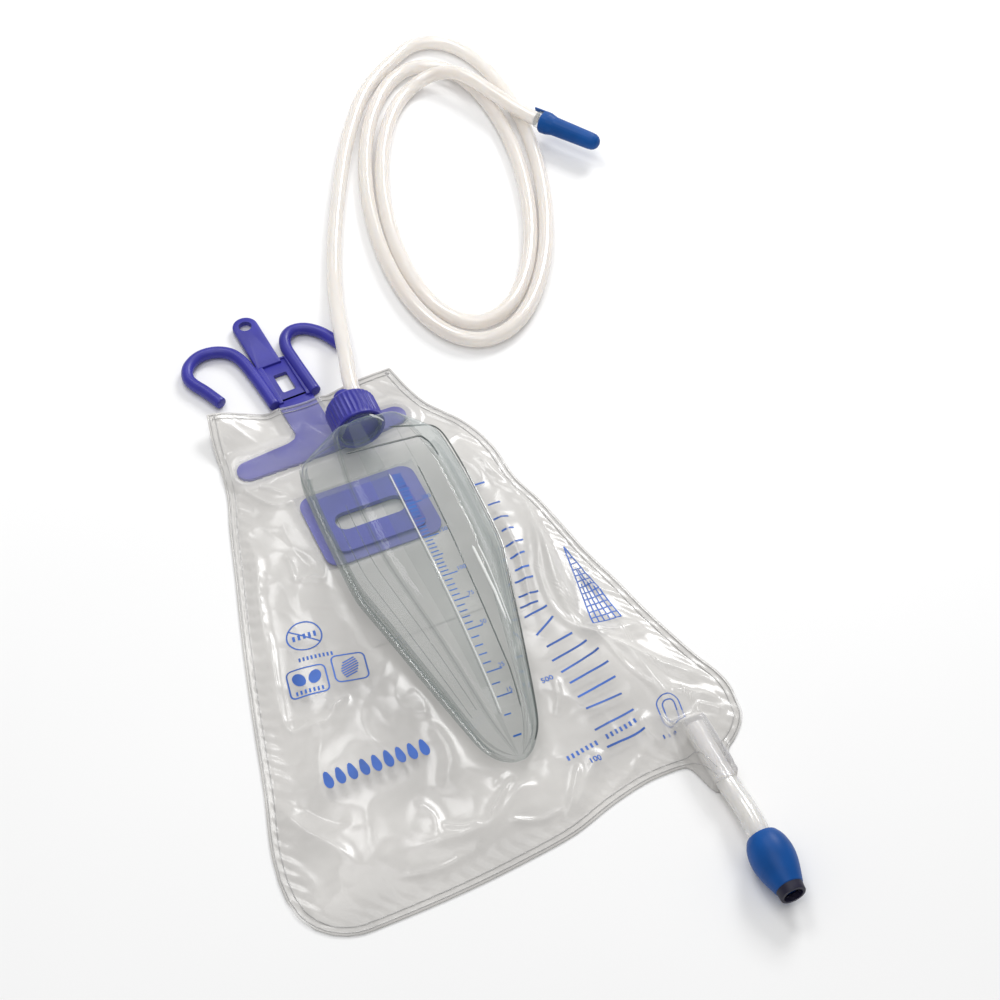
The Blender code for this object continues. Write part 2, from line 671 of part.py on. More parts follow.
def chamber_body(name, inset, finish=None, parent=None):
    """The chamber's outer or inner form, from the neck's mouth to the tip."""
    first = chamber_section(CHAMBER_PROFILE[1][0] * MM, inset)
    mouth = NECK_MOUTH_Y + (1 * MM if inset else 0)
    rings = [neck_section(y, NECK_R - inset, first) for y in (mouth, CHAMBER_NECK_Y + 0.5 * MM)]
    stations = [row[0] * MM for row in CHAMBER_PROFILE] + [STRIP_TOP, STRIP_TOP + 2.5 * MM]
    for y in sorted(stations, reverse=True):
        shift = -inset if y > PLATEAU_Y else 0.0
        if y < CHAMBER_PROFILE[-4][0] * MM:
            shift = inset
        rings.append([(x, y + shift, z) for x, _, z in chamber_section(y, inset)])
    return loft(name, rings, finish, parent)


def spout_outline(frame, shrink):
    """The spout's outline in the chamber's own frame, square with the flange's slot."""
    size = [s - 2 * shrink for s in SLOT_SIZE]
    back = frame.matrix_world.inverted()
    made = []
    for x, y in rounded_box(FLANGE_AT, size, 5 * MM - shrink):
        p = back @ Vector((x, y, 0))
        made.append((p.x, p.y))
    return made


def measuring_chamber(finish, frame):
    """Thin-walled clear chamber: round neck, faceted front with its scale strip, and a spout at the back."""
    made = chamber_body("measuring_chamber", 0.0, finish, frame)
    foot = flange_levels()[0] + GAP
    cut(made, slab("spout", spout_outline(frame, GAP), foot, CHAMBER_Z + 1 * MM, None, frame), "UNION")
    cut(made, chamber_body("hollow", CHAMBER_WALL, None, frame))
    bore = spout_outline(frame, GAP + SPOUT_WALL)
    return cut(made, slab("bore", bore, -5 * MM, CHAMBER_Z + 4 * MM, None, frame))


def cap_ring(y, radius, rib):
    """A ribbed ring of the cap."""
    count = CAP_RIBS * 3
    made = []
    for k in range(count):
        angle = TURN * k / count
        r = radius + (rib if k % 3 == 1 else 0.0)
        made.append((r * math.cos(angle), y, NECK_AXIS_Z + r * math.sin(angle)))
    return made


def chamber_cap(finish, frame):
    """The ribbed screw cap, with the tube socket and the vent dome on its top."""
    r = CAP_R - CAP_RIB
    rings = [cap_ring(CAP_RIM_Y, r, 0), cap_ring(CAP_RIM_Y + 1.6 * MM, r, 0),
             cap_ring(CAP_RIM_Y + 2 * MM, r, CAP_RIB), cap_ring(CAP_TOP_Y - 3 * MM, r, CAP_RIB),
             cap_ring(CAP_TOP_Y - 1.3 * MM, r - 0.2 * MM, 0), cap_ring(CAP_TOP_Y, r - 1.3 * MM, 0)]
    made = loft("chamber_cap", rings, finish, frame)
    x, z = DOME_PLACE
    dome = [(0.0, CAP_TOP_Y - 1 * MM), (DOME_R, CAP_TOP_Y - 1 * MM),
            (DOME_R, CAP_TOP_Y + DOME_TALL - 1.6 * MM),
            (DOME_R - 0.6 * MM, CAP_TOP_Y + DOME_TALL - 0.5 * MM), (DOME_R - 2 * MM, CAP_TOP_Y + DOME_TALL),
            (0.0, CAP_TOP_Y + DOME_TALL)]
    cut(made, turned("dome", dome, 24, None, frame, (x, NECK_AXIS_Z + z)), "UNION")
    sx, sz = SOCKET_PLACE
    socket = [(0.0, CAP_TOP_Y - 1 * MM), (SOCKET_R, CAP_TOP_Y - 1 * MM),
              (SOCKET_R - 0.3 * MM, CAP_TOP_Y + SOCKET_TALL), (0.0, CAP_TOP_Y + SOCKET_TALL)]
    cut(made, turned("socket", socket, 24, None, frame, (sx, NECK_AXIS_Z + sz)), "UNION")
    inside = CAP_R - CAP_WALL
    hollow = [(0.0, CAP_RIM_Y - 5 * MM), (inside, CAP_RIM_Y - 5 * MM),
              (inside, NECK_MOUTH_Y + 2 * GAP + SEAL_THICK),
              (0.0, NECK_MOUTH_Y + 2 * GAP + SEAL_THICK)]
    cut(made, turned("hollow", hollow, 32, None, frame, (0, NECK_AXIS_Z)))
    seat = CORD_R + GAP
    bore = [(0.0, CAP_TOP_Y - 0.4 * MM), (seat, CAP_TOP_Y - 0.4 * MM), (seat, CAP_TOP_Y + 20 * MM),
            (0.0, CAP_TOP_Y + 20 * MM)]
    cut(made, turned("seat", bore, 24, None, frame, (sx, NECK_AXIS_Z + sz)))
    past = CAP_TOP_Y + 5 * MM
    through = [(0.0, CAP_RIM_Y), (2.6 * MM, CAP_RIM_Y), (2.6 * MM, past), (0.0, past)]
    cut(made, turned("through", through, 16, None, frame, (sx, NECK_AXIS_Z + sz)))
    pocket = [(0.0, CAP_RIM_Y), (FILTER_R + GAP, CAP_RIM_Y), (FILTER_R + GAP, CAP_TOP_Y + 1.9 * MM),
              (0.0, CAP_TOP_Y + 1.9 * MM)]
    cut(made, turned("pocket", pocket, 24, None, frame, (x, NECK_AXIS_Z + z)))
    for dx in (-1.8 * MM, 0.0, 1.8 * MM):
        vent = [(0.0, 3.5 * MM), (0.5 * MM, 3.5 * MM), (0.5 * MM, 10 * MM), (0.0, 10 * MM)]
        cut(made, turned("vent", vent, 8, None, frame, (x + dx, NECK_AXIS_Z + z)))
    return made


def cap_seal(finish, frame):
    """The washer between the neck's mouth and the cap."""
    low, high = NECK_MOUTH_Y + GAP, NECK_MOUTH_Y + GAP + SEAL_THICK
    outer, inner = CAP_R - CAP_WALL - GAP, NECK_R - CHAMBER_WALL
    outline = [(inner, low), (outer, low), (outer, high), (inner, high)]
    return turned("cap_seal", outline, 32, finish, frame, (0, NECK_AXIS_Z))


def vent_filter(finish, frame):
    """The filter disc in the dome's pocket."""
    low = CAP_TOP_Y + 1.9 * MM - GAP - FILTER_THICK
    outline = [(0.0, low), (FILTER_R, low), (FILTER_R, low + FILTER_THICK), (0.0, low + FILTER_THICK)]
    return turned("vent_filter", outline, 24, finish, frame, (DOME_PLACE[0], NECK_AXIS_Z + DOME_PLACE[1]))


# Inlet tube

def coil_point(turns):
    """A place on the coil. turns count clockwise from its top; the second turn lies inside the first."""
    share = smooth_step(*INWARD, turns)
    half, length, shift = (outer + (inner - outer) * share for outer, inner in zip(COIL_OUTER, COIL_INNER))
    across, along = half * math.sin(TURN * turns), shift + length * math.cos(TURN * turns)
    c, s = math.cos(COIL_LEAN), math.sin(COIL_LEAN)
    return Vector((COIL_AT[0] + across * c + along * s, COIL_AT[1] - across * s + along * c, CORD_Z))


def coil_heading(turns):
    """The direction that the tube runs in."""
    return (coil_point(turns + 0.002) - coil_point(turns - 0.002)).normalized()


def beside_coil(turns, distance):
    """A place square out from the coil's tube, or square in where distance is negative."""
    heading = coil_heading(turns)
    return coil_point(turns) + Vector((-heading.y, heading.x, 0)) * distance


def cord_curve(name, points, finish):
    """A round tube along the points, as a curve with filled ends."""
    data = bpy.data.curves.new(name, "CURVE")
    data.dimensions = "3D"
    data.bevel_depth = CORD_R
    data.bevel_resolution = 2
    data.use_fill_caps = True
    run = data.splines.new("POLY")
    run.points.add(len(points) - 1)
    for slot, point in zip(run.points, points):
        slot.co = (*point, 1.0)
    data.materials.append(finish)
    made = bpy.data.objects.new(name, data)
    bpy.context.scene.collection.objects.link(made)
    return made


def socket_exit(frame):
    """Where the tube leaves the cap's socket, and the direction that it leaves in."""
    place = Vector((SOCKET_PLACE[0], CAP_TOP_Y - 0.1 * MM, NECK_AXIS_Z + SOCKET_PLACE[1]))
    turn = Matrix.Rotation(CHAMBER_LEAN, 3, "Z")
    return frame.matrix_world @ place, turn @ Vector((0, 1, 0))


def inlet_tube(finish, frame):
    """From the cap, over the hook's tip, down to the table and up beside the coil to its outer turn."""
    start, out = socket_exit(frame)
    route = [start, start + out * 12 * MM + Vector((0, 0, 0.4 * MM))]
    route += [Vector(p) * MM for p in (
        (24.5, 36, 15.6), (30.0, 57, 12.2), (36.5, 80, 7.6), (44.5, 104, 4.5), (54.5, 129, 4.2),
        (67.5, 157, 4.2), (86.0, 193, 4.2))]
    route += [beside_coil(turns, CORD_OD + 6 * GAP) for turns in (0.84, 0.88, 0.92)]
    route.append(coil_point(COIL_START) - coil_heading(COIL_START) * 4 * GAP)
    return cord_curve("inlet_tube", spline(route, 2.3 * CORD_OD), finish)


def coil_turns(section):
    """The outermost and the innermost turn at a section of the solid, with a step at each tube's end."""
    if section < INNER_STEP:
        ahead = (COIL_END - 1 - INNER_STEP) * smooth_step(INNER_STEP - 0.15, INNER_STEP, section)
        return section, 1 + section + ahead
    if section < OUTER_STEP:
        return section, section
    behind = (OUTER_STEP - 1 - COIL_START) * (1 - smooth_step(OUTER_STEP, OUTER_STEP + 0.16, section))
    return section - 1 - behind, section


def tube_coil(finish):
    """The loose coil as one solid of its outer shape."""
    low, high = CORD_Z - CORD_R - 0.1 * MM, CORD_Z + CORD_R + 0.1 * MM
    soft = Vector((0, 0, 2.2 * MM))
    edge = 0.0004
    start = OUTER_STEP + 0.16 - 1
    sections = [start + k / 70 for k in range(70)]
    for step in (INNER_STEP, OUTER_STEP):
        sections = [t for t in sections if abs(t - step) > 0.006] + [step - edge, step + edge]
    rings = []
    for section in sorted(sections):
        outer_turn, inner_turn = coil_turns(section)
        outer, inner = beside_coil(outer_turn, CORD_R), beside_coil(inner_turn, -CORD_R)
        inward = (inner - outer).normalized() * soft.z
        outer_low, inner_low = Vector((outer.x, outer.y, low)), Vector((inner.x, inner.y, low))
        outer_high, inner_high = Vector((outer.x, outer.y, high)), Vector((inner.x, inner.y, high))
        rings.append([
            inner_low - inward, outer_low + inward, outer_low + soft, outer_high - soft,
            outer_high + inward, inner_high - inward, inner_high - soft, inner_low + soft,
        ])
    return loft("tube_coil", rings, finish, None, loop=True)


def tail_route():
    """The inner turn rises, lies across the coil and reaches the connector level."""
    early = [coil_point(COIL_END + (TAIL_LEAVES - COIL_END) * k / 6) for k in range(6)]
    early[0] += coil_heading(COIL_END) * 4 * GAP
    start, joint = coil_point(TAIL_LEAVES), Vector((*CONNECTOR_AT[:2], CORD_Z))
    arrive = Vector((math.cos(CONNECTOR_HEADING), math.sin(CONNECTOR_HEADING), 0))
    end = joint - arrive * 2 * GAP
    first, last = start + coil_heading(TAIL_LEAVES) * 20 * MM, end - arrive * 26 * MM
    late = [
        start * (1 - t) ** 3 + first * 3 * t * (1 - t) ** 2 + last * 3 * t * t * (1 - t) + end * t ** 3
        for t in (k / 16 for k in range(17))
    ]
    made = early + late
    walked = [0.0]
    for p, q in zip(made, made[1:]):
        walked.append(walked[-1] + (q - p).length)
    for point, way in zip(made, walked):
        point.z += (CROSS_Z - CORD_Z) * smooth_step(0, 40 * MM, way)
        point.z -= (CROSS_Z - CONNECTOR_AT[2]) * smooth_step(walked[-1] - 11 * MM, walked[-1] - 2 * MM, way)
    return made


def tube_tail(finish):
    """The last stretch, on top of the coil to the connector."""
    return cord_curve("tube_tail", spline(tail_route(), 1.5 * CORD_OD), finish)


# Connector

def patient_connector(finish, frame):
    """Clear stepped connector: collar at the tube, then a ringed taper, bored through."""
    r0, r1 = NOZZLE_R
    bore = NOZZLE_BORE
    tip = COLLAR_LENGTH + NOZZLE_LENGTH
    outline = [(bore, 0.0), (COLLAR_R, 0.0), (COLLAR_R, COLLAR_LENGTH), (r0, COLLAR_LENGTH)]
    rings = 3
    for k in range(1, rings + 1):
        y = COLLAR_LENGTH + NOZZLE_LENGTH * k / (rings + 1)
        r = r0 + (r1 - r0) * k / (rings + 1)
        outline += [(r - 0.1 * MM, y - 1.2 * MM), (r + 0.35 * MM, y - 0.4 * MM), (r, y)]
    outline += [(r1, tip - 1 * MM), (r1 - 0.5 * MM, tip), (bore, tip)]
    return turned("patient_connector", outline, 20, finish, frame)


def connector_cap(finish, frame):
    """The protective cover: a long cup over the nozzle, flared at its mouth, with a pull tab."""
    r0, r1 = COVER_R
    start, end = COVER_STEP, COVER_STEP + COVER_LENGTH
    tip = COLLAR_LENGTH + NOZZLE_LENGTH + 1.2 * MM
    outer = [(COVER_MOUTH_R - 0.5 * MM, start), (COVER_MOUTH_R, start + 0.8 * MM),
             (COVER_MOUTH_R - 0.1 * MM, start + 4 * MM), (r0, start + 8 * MM), (r1 + 0.1 * MM, end - 6 * MM)]
    for degrees in (15, 35, 55, 75):
        bearing = math.radians(degrees)
        outer.append((r1 * math.cos(bearing), end - r1 + r1 * math.sin(bearing)))
    inner = [(NOZZLE_R[1] + 0.7 * MM, tip), (NOZZLE_R[0] + 0.45 * MM, COLLAR_LENGTH + GAP + 1.2 * MM),
             (COLLAR_R + GAP, COLLAR_LENGTH + GAP), (COLLAR_R + GAP, start)]
    outline = [(0.0, tip), *inner, *outer, (0.0, end)]
    made = turned("connector_cap", outline, 24, finish, frame)
    low = COVER_MOUTH_R - 0.9 * MM
    tab = [(-1.4 * MM, start - TAB_LENGTH), (1.4 * MM, start - TAB_LENGTH), (1.8 * MM, start + 2.5 * MM),
           (-1.8 * MM, start + 2.5 * MM)]
    piece = slab("tab", tab, low, low + 0.8 * MM, None, frame)
    piece.data.transform(Matrix.Rotation(math.radians(-75), 4, "Y"))
    return cut(made, piece, "UNION")


# Drain tube and valve

def outlet_tube(finish):
    """Clear tube from inside the bag's neck to the valve, swept with its bore."""
    radius = DRAIN_OD / 2
    down = Vector((-math.sin(-VALVE_LEAN), -math.cos(VALVE_LEAN), 0))
    end = Vector(VALVE_AT) + down * (6 * MM)
    low = FILM + GAP + radius + 0.2 * MM
    route = [(NECK_X + 0.4 * MM, DRAIN_START, low), (NECK_X, DRAIN_START - 15 * MM, low),
             (NECK_X - 0.2 * MM, NECK_END - 1 * MM, low + 0.5 * MM),
             (VALVE_AT[0] + 0.9 * MM, VALVE_AT[1] + 16 * MM, VALVE_AT[2] - 0.9 * MM),
             Vector(VALVE_AT) - down * 5 * MM, end]
    path = spline(route, 5.5 * MM)
    outer = tube_rings(path, [radius] * len(path), 20)
    inner = tube_rings(path, [DRAIN_BORE / 2] * len(path), 20)
    return loft("outlet_tube", outer + inner[::-1], finish, None, loop=True)


def valve_spigot(finish, frame):
    """Inner half of the valve: a barb in the tube, two grooves with side ports between, a closed nose."""
    barb = DRAIN_BORE / 2 - GAP
    r, g, bore = SPIGOT_R, GROOVE_R, SPIGOT_BORE
    wide = SEAL_WIDTH / 2 + 0.3 * MM
    outline = [(0.0, 20 * MM), (bore, 20 * MM), (bore, -7 * MM), (barb - 0.8 * MM, -7 * MM), (barb, -4 * MM),
               (barb - 0.5 * MM, -4 * MM), (barb - 0.5 * MM, 6 * MM + GAP), (r, 6 * MM + GAP)]
    for y in (UPPER_SEAL, LOWER_SEAL):
        outline += [(r, y - wide), (g, y - wide), (g, y + wide), (r, y + wide)]
    outline += [(r - 0.3 * MM, 26 * MM), (r - 1.8 * MM, 27 * MM), (0.0, 27 * MM)]
    made = turned("valve_spigot", outline, 24, finish, frame)
    port = rounded_box((0, 17.6 * MM), (3.2 * MM, 3.6 * MM), 1.5 * MM, 3)
    return cut(made, slab("port", port, -9 * MM, 9 * MM, None, frame))


def valve_seal(name, y, finish, frame):
    """A seal ring in its groove."""
    middle = (SEAL_R + GROOVE_R + GAP) / 2
    thick = SEAL_R - middle
    bearings = [TURN * k / 8 for k in range(8)]
    outline = [
        (middle + thick * math.cos(bearing), y + SEAL_WIDTH / 2 * math.sin(bearing)) for bearing in bearings
    ]
    return turned(name, outline, 20, finish, frame)


def valve_sleeve(finish, frame):
    """The bulb that is pushed and pulled: it slides on the seals and carries the nozzle."""
    outer = [(SLEEVE_MOUTH_R - 0.5 * MM, 0.0), (SLEEVE_MOUTH_R, 0.4 * MM), (8.9 * MM, 3.5 * MM),
             (SLEEVE_R - 0.2 * MM, 7.5 * MM), (SLEEVE_R, 11 * MM), (SLEEVE_R - 0.3 * MM, 14.5 * MM),
             (8.7 * MM, 19 * MM), (7.2 * MM, 24 * MM), (6.3 * MM, 27 * MM), (SLEEVE_END_R, 28.5 * MM),
             (SLEEVE_END_R, SLEEVE_LENGTH - 0.5 * MM), (SLEEVE_END_R - 0.4 * MM, SLEEVE_LENGTH)]
    b, wide = SLEEVE_BORE, CHAMBER_BORE
    inner = [(OUTLET_BORE, SLEEVE_LENGTH), (OUTLET_BORE, 27.6 * MM), (b, 26.6 * MM), (b, 21.4 * MM),
             (wide, 20.4 * MM), (wide, 16.2 * MM), (b, 15.2 * MM), (b, 0.0)]
    return turned("valve_sleeve", outer + inner, 32, finish, frame)


def build():
    clear_scene()
    clear_film = material("clear_film", (0.80, 0.80, 0.79), 0.25, 0.6, 0.45)
    back_ply = material("back_ply", (0.82, 0.82, 0.81), 0.35, 0.3, 0.7)
    violet = material("violet_moulding", (0.055, 0.05, 0.36), 0.35)
    port_blue = material("port_blue", (0.07, 0.06, 0.40), 0.4)
    clear_rigid = material("clear_rigid", (0.62, 0.66, 0.65), 0.08, 0.85, 0.35)
    white_seal = material("white_seal", (0.85, 0.85, 0.83), 0.5)
    white_moulding = material("white_moulding", (0.82, 0.82, 0.80), 0.4)
    tube_clear = material("tube_clear", (0.82, 0.80, 0.76), 0.2, 0.5, 0.6)
    valve_blue = material("valve_blue", (0.004, 0.085, 0.32), 0.4)
    navy = material("seal_navy", (0.006, 0.004, 0.02), 0.5)

    back_film(back_ply)
    front_film(clear_film)
    hanger(violet)
    port_flange(port_blue)
    reflux_valve(clear_film)

    chamber_frame = empty("chamber_frame", (*CHAMBER_AT, 0), CHAMBER_LEAN)
    bpy.context.view_layer.update()
    measuring_chamber(clear_rigid, chamber_frame)
    chamber_cap(violet, chamber_frame)
    cap_seal(white_seal, chamber_frame)
    vent_filter(white_seal, chamber_frame)

    inlet_tube(tube_clear, chamber_frame)
    tube_coil(tube_clear)
    tube_tail(tube_clear)
    connector_frame = empty("connector_frame", CONNECTOR_AT, CONNECTOR_HEADING - math.pi / 2)
    patient_connector(clear_rigid, connector_frame)
    connector_cap(valve_blue, connector_frame)

    outlet_tube(tube_clear)
    valve_frame = empty("valve_frame", VALVE_AT, math.pi + VALVE_LEAN)
    valve_spigot(white_moulding, valve_frame)
    valve_seal("valve_seal_upper", UPPER_SEAL, navy, valve_frame)
    valve_seal("valve_seal_lower", LOWER_SEAL, navy, valve_frame)
    valve_sleeve(valve_blue, valve_frame)


build()
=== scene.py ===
"""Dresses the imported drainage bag: film with folds and print, clear chamber with scale, tube, hanger, valve.

The model's own frame has +Z up, +Y towards the hooks and +X towards the drain side. Sizes and places are in
millimetres, and MM turns them into metres where a mesh is made. Lights and camera are in metres.
"""

import math

import bmesh
import bpy
from mathutils import Matrix, Vector, noise


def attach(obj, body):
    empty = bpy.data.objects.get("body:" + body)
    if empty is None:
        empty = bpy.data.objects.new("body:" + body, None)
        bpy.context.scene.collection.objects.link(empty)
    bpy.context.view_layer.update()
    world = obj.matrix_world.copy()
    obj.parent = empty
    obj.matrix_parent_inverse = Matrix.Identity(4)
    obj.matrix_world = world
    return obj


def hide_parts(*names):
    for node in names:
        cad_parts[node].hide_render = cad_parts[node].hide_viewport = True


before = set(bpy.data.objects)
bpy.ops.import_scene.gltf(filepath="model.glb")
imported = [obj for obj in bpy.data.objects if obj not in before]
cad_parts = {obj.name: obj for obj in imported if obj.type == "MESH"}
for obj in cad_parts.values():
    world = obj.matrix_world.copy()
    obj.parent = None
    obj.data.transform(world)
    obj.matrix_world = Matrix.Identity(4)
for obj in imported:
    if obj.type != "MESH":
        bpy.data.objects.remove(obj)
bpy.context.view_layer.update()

MM = 0.001
TURN = 2 * math.pi

# Camera, at the photograph's angle
CAMERA_AT = (-0.2256, -0.7019, 0.827)
CAMERA_TILT = math.radians(40)
CAMERA_TURN = math.radians(-24.5)
CAMERA_LENS, CAMERA_SENSOR = 79.2, 36

# Sizes and places shared with the solids
GAP = 0.3
FILM = 0.4
HANGER_AT = (-4.0, -1.5)
HANGER_LEAN = math.radians(3.0)
HANGER_Z = 0.7
BAR_LENGTH, BAR_END, BAR_MIDDLE = 92.0, 12.0, 15.0
PLATE_THICK, STEM_WIDTH, PLATE_TOP = 2.2, 19.0, 63.0
WINDOW, WINDOW_Y = (7.2, 13.2), 46.5
ROD_R, ROD_Z = 3.1, 3.3
RAIL_FOOT = 33.0
LEDGE_X, LEDGE_TALL = (6.4, 9.6), 3.2
LEFT_HOOK = (
    (-11.2, 33.5), (-11.7, 46), (-12.6, 59), (-14.0, 70), (-17.3, 77.4), (-24.0, 82.0), (-32.5, 82.6),
    (-40.0, 78.2), (-43.0, 71.5), (-42.0, 65.5), (-38.8, 58.5), (-34.8, 47.5),
)
RIGHT_HOOK = (
    (11.2, 33.5), (10.7, 46), (10.3, 59), (10.4, 68), (12.8, 74.6), (18.0, 77.8), (25.0, 76.0),
    (31.3, 69), (36.2, 57.5),
)
TONGUE_X, TONGUE_HALF, TONGUE_TOP = -2.6, 6.7, 98.0
TONGUE_THICK, TONGUE_HOLE_R = 3.0, 3.4
FLANGE_AT, FLANGE_SIZE, FRAME_SIZE = (0.0, -55.0), (60.0, 46.0), (46.0, 36.0)
CHAMBER_AT = (12.7, 0.0)
CHAMBER_LEAN = math.radians(-2.04)
CHAMBER_Z = 5.2
# Y, half width, half width of the front face, its height, height of the back
CHAMBER_PROFILE = (
    (-19, 25.0, 10.5, 25.5, 1.0),
    (-22, 32.5, 14.0, 28.5, 0.2),
    (-27, 36.2, 16.5, 30.5, 0.0),
    (-34, 37.5, 18.0, 31.5, 0.0),
    (-46, 38.1, 20.0, 33.0, 0.0),
    (-62, 38.3, 22.0, 34.8, 0.0),
    (-95, 37.8, 22.5, 34.8, 0.0),
    (-108, 37.0, 22.2, 34.8, 0.0),
    (-118, 34.8, 21.4, 34.8, 0.0),
    (-135, 30.9, 19.0, 34.0, 0.0),
    (-155, 26.4, 15.9, 32.4, 0.0),
    (-175, 21.7, 12.9, 29.4, 0.0),
    (-192, 17.6, 10.4, 26.0, 0.0),
    (-205, 13.8, 8.0, 21.6, 0.0),
    (-212, 9.6, 5.4, 17.0, 0.6),
    (-216, 5.6, 3.1, 12.4, 2.4),
    (-218, 2.6, 1.5, 8.6, 4.0),
)
NECK_R, NECK_Z, NECK_MOUTH, NECK_ROOT = 10.4, 18.0, -1.0, -16.5
STRIP_TOP, STRIP_RISE = -63.0, 0.8
CAP_R, CAP_RIM, CAP_TOP = 13.2, -14.5, 3.0
CAP_RIBS, CAP_RIB = 34, 0.35
DOME_R, DOME_TALL, DOME_PLACE = 4.6, 4.2, (-2.2, 5.2)
SOCKET_R, SOCKET_TALL, SOCKET_PLACE = 5.0, 2.6, (5.6, -1.4)
CORD_R, CORD_Z = 4.0, 4.2
COIL_AT, COIL_LEAN = (132.5, 147.5), math.radians(16.4)
COIL_OUTER, COIL_INNER = (49.0, 124.0, 0.0), (39.4, 100.0, -11.0)
COIL_START, COIL_END, INWARD = -0.04, 1.93, (0.62, 1.27)
CROSS_Z, TAIL_LEAVES = 12.8, 2.03
CONNECTOR_AT = (193.5, 167.4, 12.2)
CONNECTOR_HEADING = math.atan2(-0.832, 0.555)
DRAIN_R, DRAIN_BORE, DRAIN_START = 5.0, 3.7, -232.0
NECK_X, NECK_HALF, NECK_END = 84.0, 7.5, -264.0
VALVE_AT, VALVE_LEAN = (82.4, -297.0, 10.4), math.radians(-2.7)


# Shared tools

def new_object(name, data):
    made = bpy.data.objects.new(name, data)
    bpy.context.scene.collection.objects.link(made)
    return made


def add_mesh(name, points, faces, finish, body="bag", smooth=40):
    """A mesh piece from points in millimetres, riding on a body."""
    mesh = bpy.data.meshes.new(name)
    mesh.from_pydata([tuple(Vector(p) * MM) for p in points], [], faces)
    mesh.materials.append(finish)
    made = new_object(name, mesh)
    if smooth:
        mesh.shade_smooth()
        mesh.set_sharp_from_angle(angle=math.radians(smooth))
    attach(made, body)
    return made


def outward(made):
    """Turns a closed piece's faces outward."""
    work = bmesh.new()
    work.from_mesh(made.data)
    bmesh.ops.recalc_face_normals(work, faces=work.faces)
    work.to_mesh(made.data)
    work.free()
    return made


class Solid:
    """Collects surfaces into one piece. Each face has a look, which is the number of its finish."""

    def __init__(self):
        self.points, self.faces, self.looks = [], [], []

    def add(self, points, faces, look=0):
        base = len(self.points)
        self.points += [Vector(p) for p in points]
        self.faces += [tuple(base + i for i in face) for face in faces]
        self.looks += [look] * len(faces)

    def loft(self, rings, loop=False, look=0):
        """Skins the rings. look is a number, or gives one from a face's ring and its place in the ring."""
        count, base = len(rings[0]), len(self.points)
        self.points += [Vector(p) for ring in rings for p in ring]
        for r in range(len(rings) if loop else len(rings) - 1):
            a, b = base + r * count, base + ((r + 1) % len(rings)) * count
            for i in range(count):
                self.faces.append((a + i, a + (i + 1) % count, b + (i + 1) % count, b + i))
                self.looks.append(look(r, i) if callable(look) else look)
        if not loop:
            last = base + (len(rings) - 1) * count
            self.faces += [tuple(range(base, base + count)), tuple(range(last, last + count))]
            self.looks += [0, 0]

    def place(self, at, turn):
        """Turns the points about Z and moves them."""
        spin = Matrix.Rotation(turn, 4, "Z")
        shift = Vector((*at, 0)) if len(at) == 2 else Vector(at)
        self.points = [spin @ p + shift for p in self.points]

    def piece(self, name, *finishes, body="bag", smooth=40):
        made = add_mesh(name, self.points, self.faces, finishes[0], body, smooth)
        for finish in finishes[1:]:
            made.data.materials.append(finish)
        made.data.polygons.foreach_set("material_index", self.looks)
        return outward(made)


def grid_quads(across, down, base=0, flip=False):
    """Faces of a grid of points, row by row."""
    made = []
    for r in range(down - 1):
        for c in range(across - 1):
            a = base + r * across + c
            quad = (a, a + across, a + across + 1, a + 1)
            made.append((a, *quad[:0:-1]) if flip else quad)
    return made


def local(x, y, at, lean):
    """A place on the part, seen from a frame that stands at a place and leans."""
    c, s = math.cos(lean), math.sin(lean)
    dx, dy = x - at[0], y - at[1]
    return dx * c + dy * s, dy * c - dx * s


def turned(point, centre, angle):
    dx, dy = point[0] - centre[0], point[1] - centre[1]
    c, s = math.cos(angle), math.sin(angle)
    return centre[0] + dx * c - dy * s, centre[1] + dx * s + dy * c


def length_of(path):
    return sum((q - p).length for p, q in zip(path, path[1:]))


def smooth_step(low, high, value):
    share = min(1.0, max(0.0, (value - low) / (high - low)))
    return share * share * (3 - 2 * share)


def straight_table(table, value):
    """A value read off pairs of (place, value) that run downward in place."""
    if value >= table[0][0]:
        return table[0][1]
    for (p0, v0), (p1, v1) in zip(table, table[1:]):
        if value >= p1:
            return v0 + (v1 - v0) * (value - p0) / (p1 - p0)
    return table[-1][1]


def curved_table(table, value):
    """As straight_table, with smooth bends at the pairs."""
    if value >= table[0][0]:
        return table[0][1]
    if value <= table[-1][0]:
        return table[-1][1]
    slopes = []
    for k in range(len(table)):
        a, b = table[max(k - 1, 0)], table[min(k + 1, len(table) - 1)]
        slopes.append((b[1] - a[1]) / (b[0] - a[0]))
    for k in range(len(table) - 1):
        (p0, v0), (p1, v1) = table[k], table[k + 1]
        if value >= p1:
            span = p1 - p0
            t = (value - p0) / span
            return (v0 * (1 + 2 * t) * (1 - t) ** 2 + slopes[k] * span * t * (1 - t) ** 2
                    + v1 * t * t * (3 - 2 * t) + slopes[k + 1] * span * t * t * (t - 1))
    return table[-1][1]


def spline(points, step):
    """Points about step apart on a smooth curve through the given points."""
    chain = [Vector(p) for p in points]
    ends = [chain[0] * 2 - chain[1], *chain, chain[-1] * 2 - chain[-2]]
    dense = []
    for a, b, c, d in zip(ends, ends[1:], ends[2:], ends[3:]):
        for k in range(24):
            t = k / 24
            dense.append(0.5 * (2 * b + (c - a) * t + (2 * a - 5 * b + 4 * c - d) * t * t
                                + (3 * b - a - 3 * c + d) * t ** 3))
    dense.append(chain[-1])
    return evenly(dense, step)


def evenly(dense, step):
    """The same line with points step apart."""
    total = length_of(dense)
    count = max(2, round(total / step))
    made, walked, target = [dense[0]], 0.0, total / count
    for p, q in zip(dense, dense[1:]):
        piece = (q - p).length
        while piece > 0 and walked + piece >= target * len(made) - 1e-9 and len(made) < count:
            made.append(p.lerp(q, (target * len(made) - walked) / piece))
        walked += piece
    made.append(dense[-1])
    return made


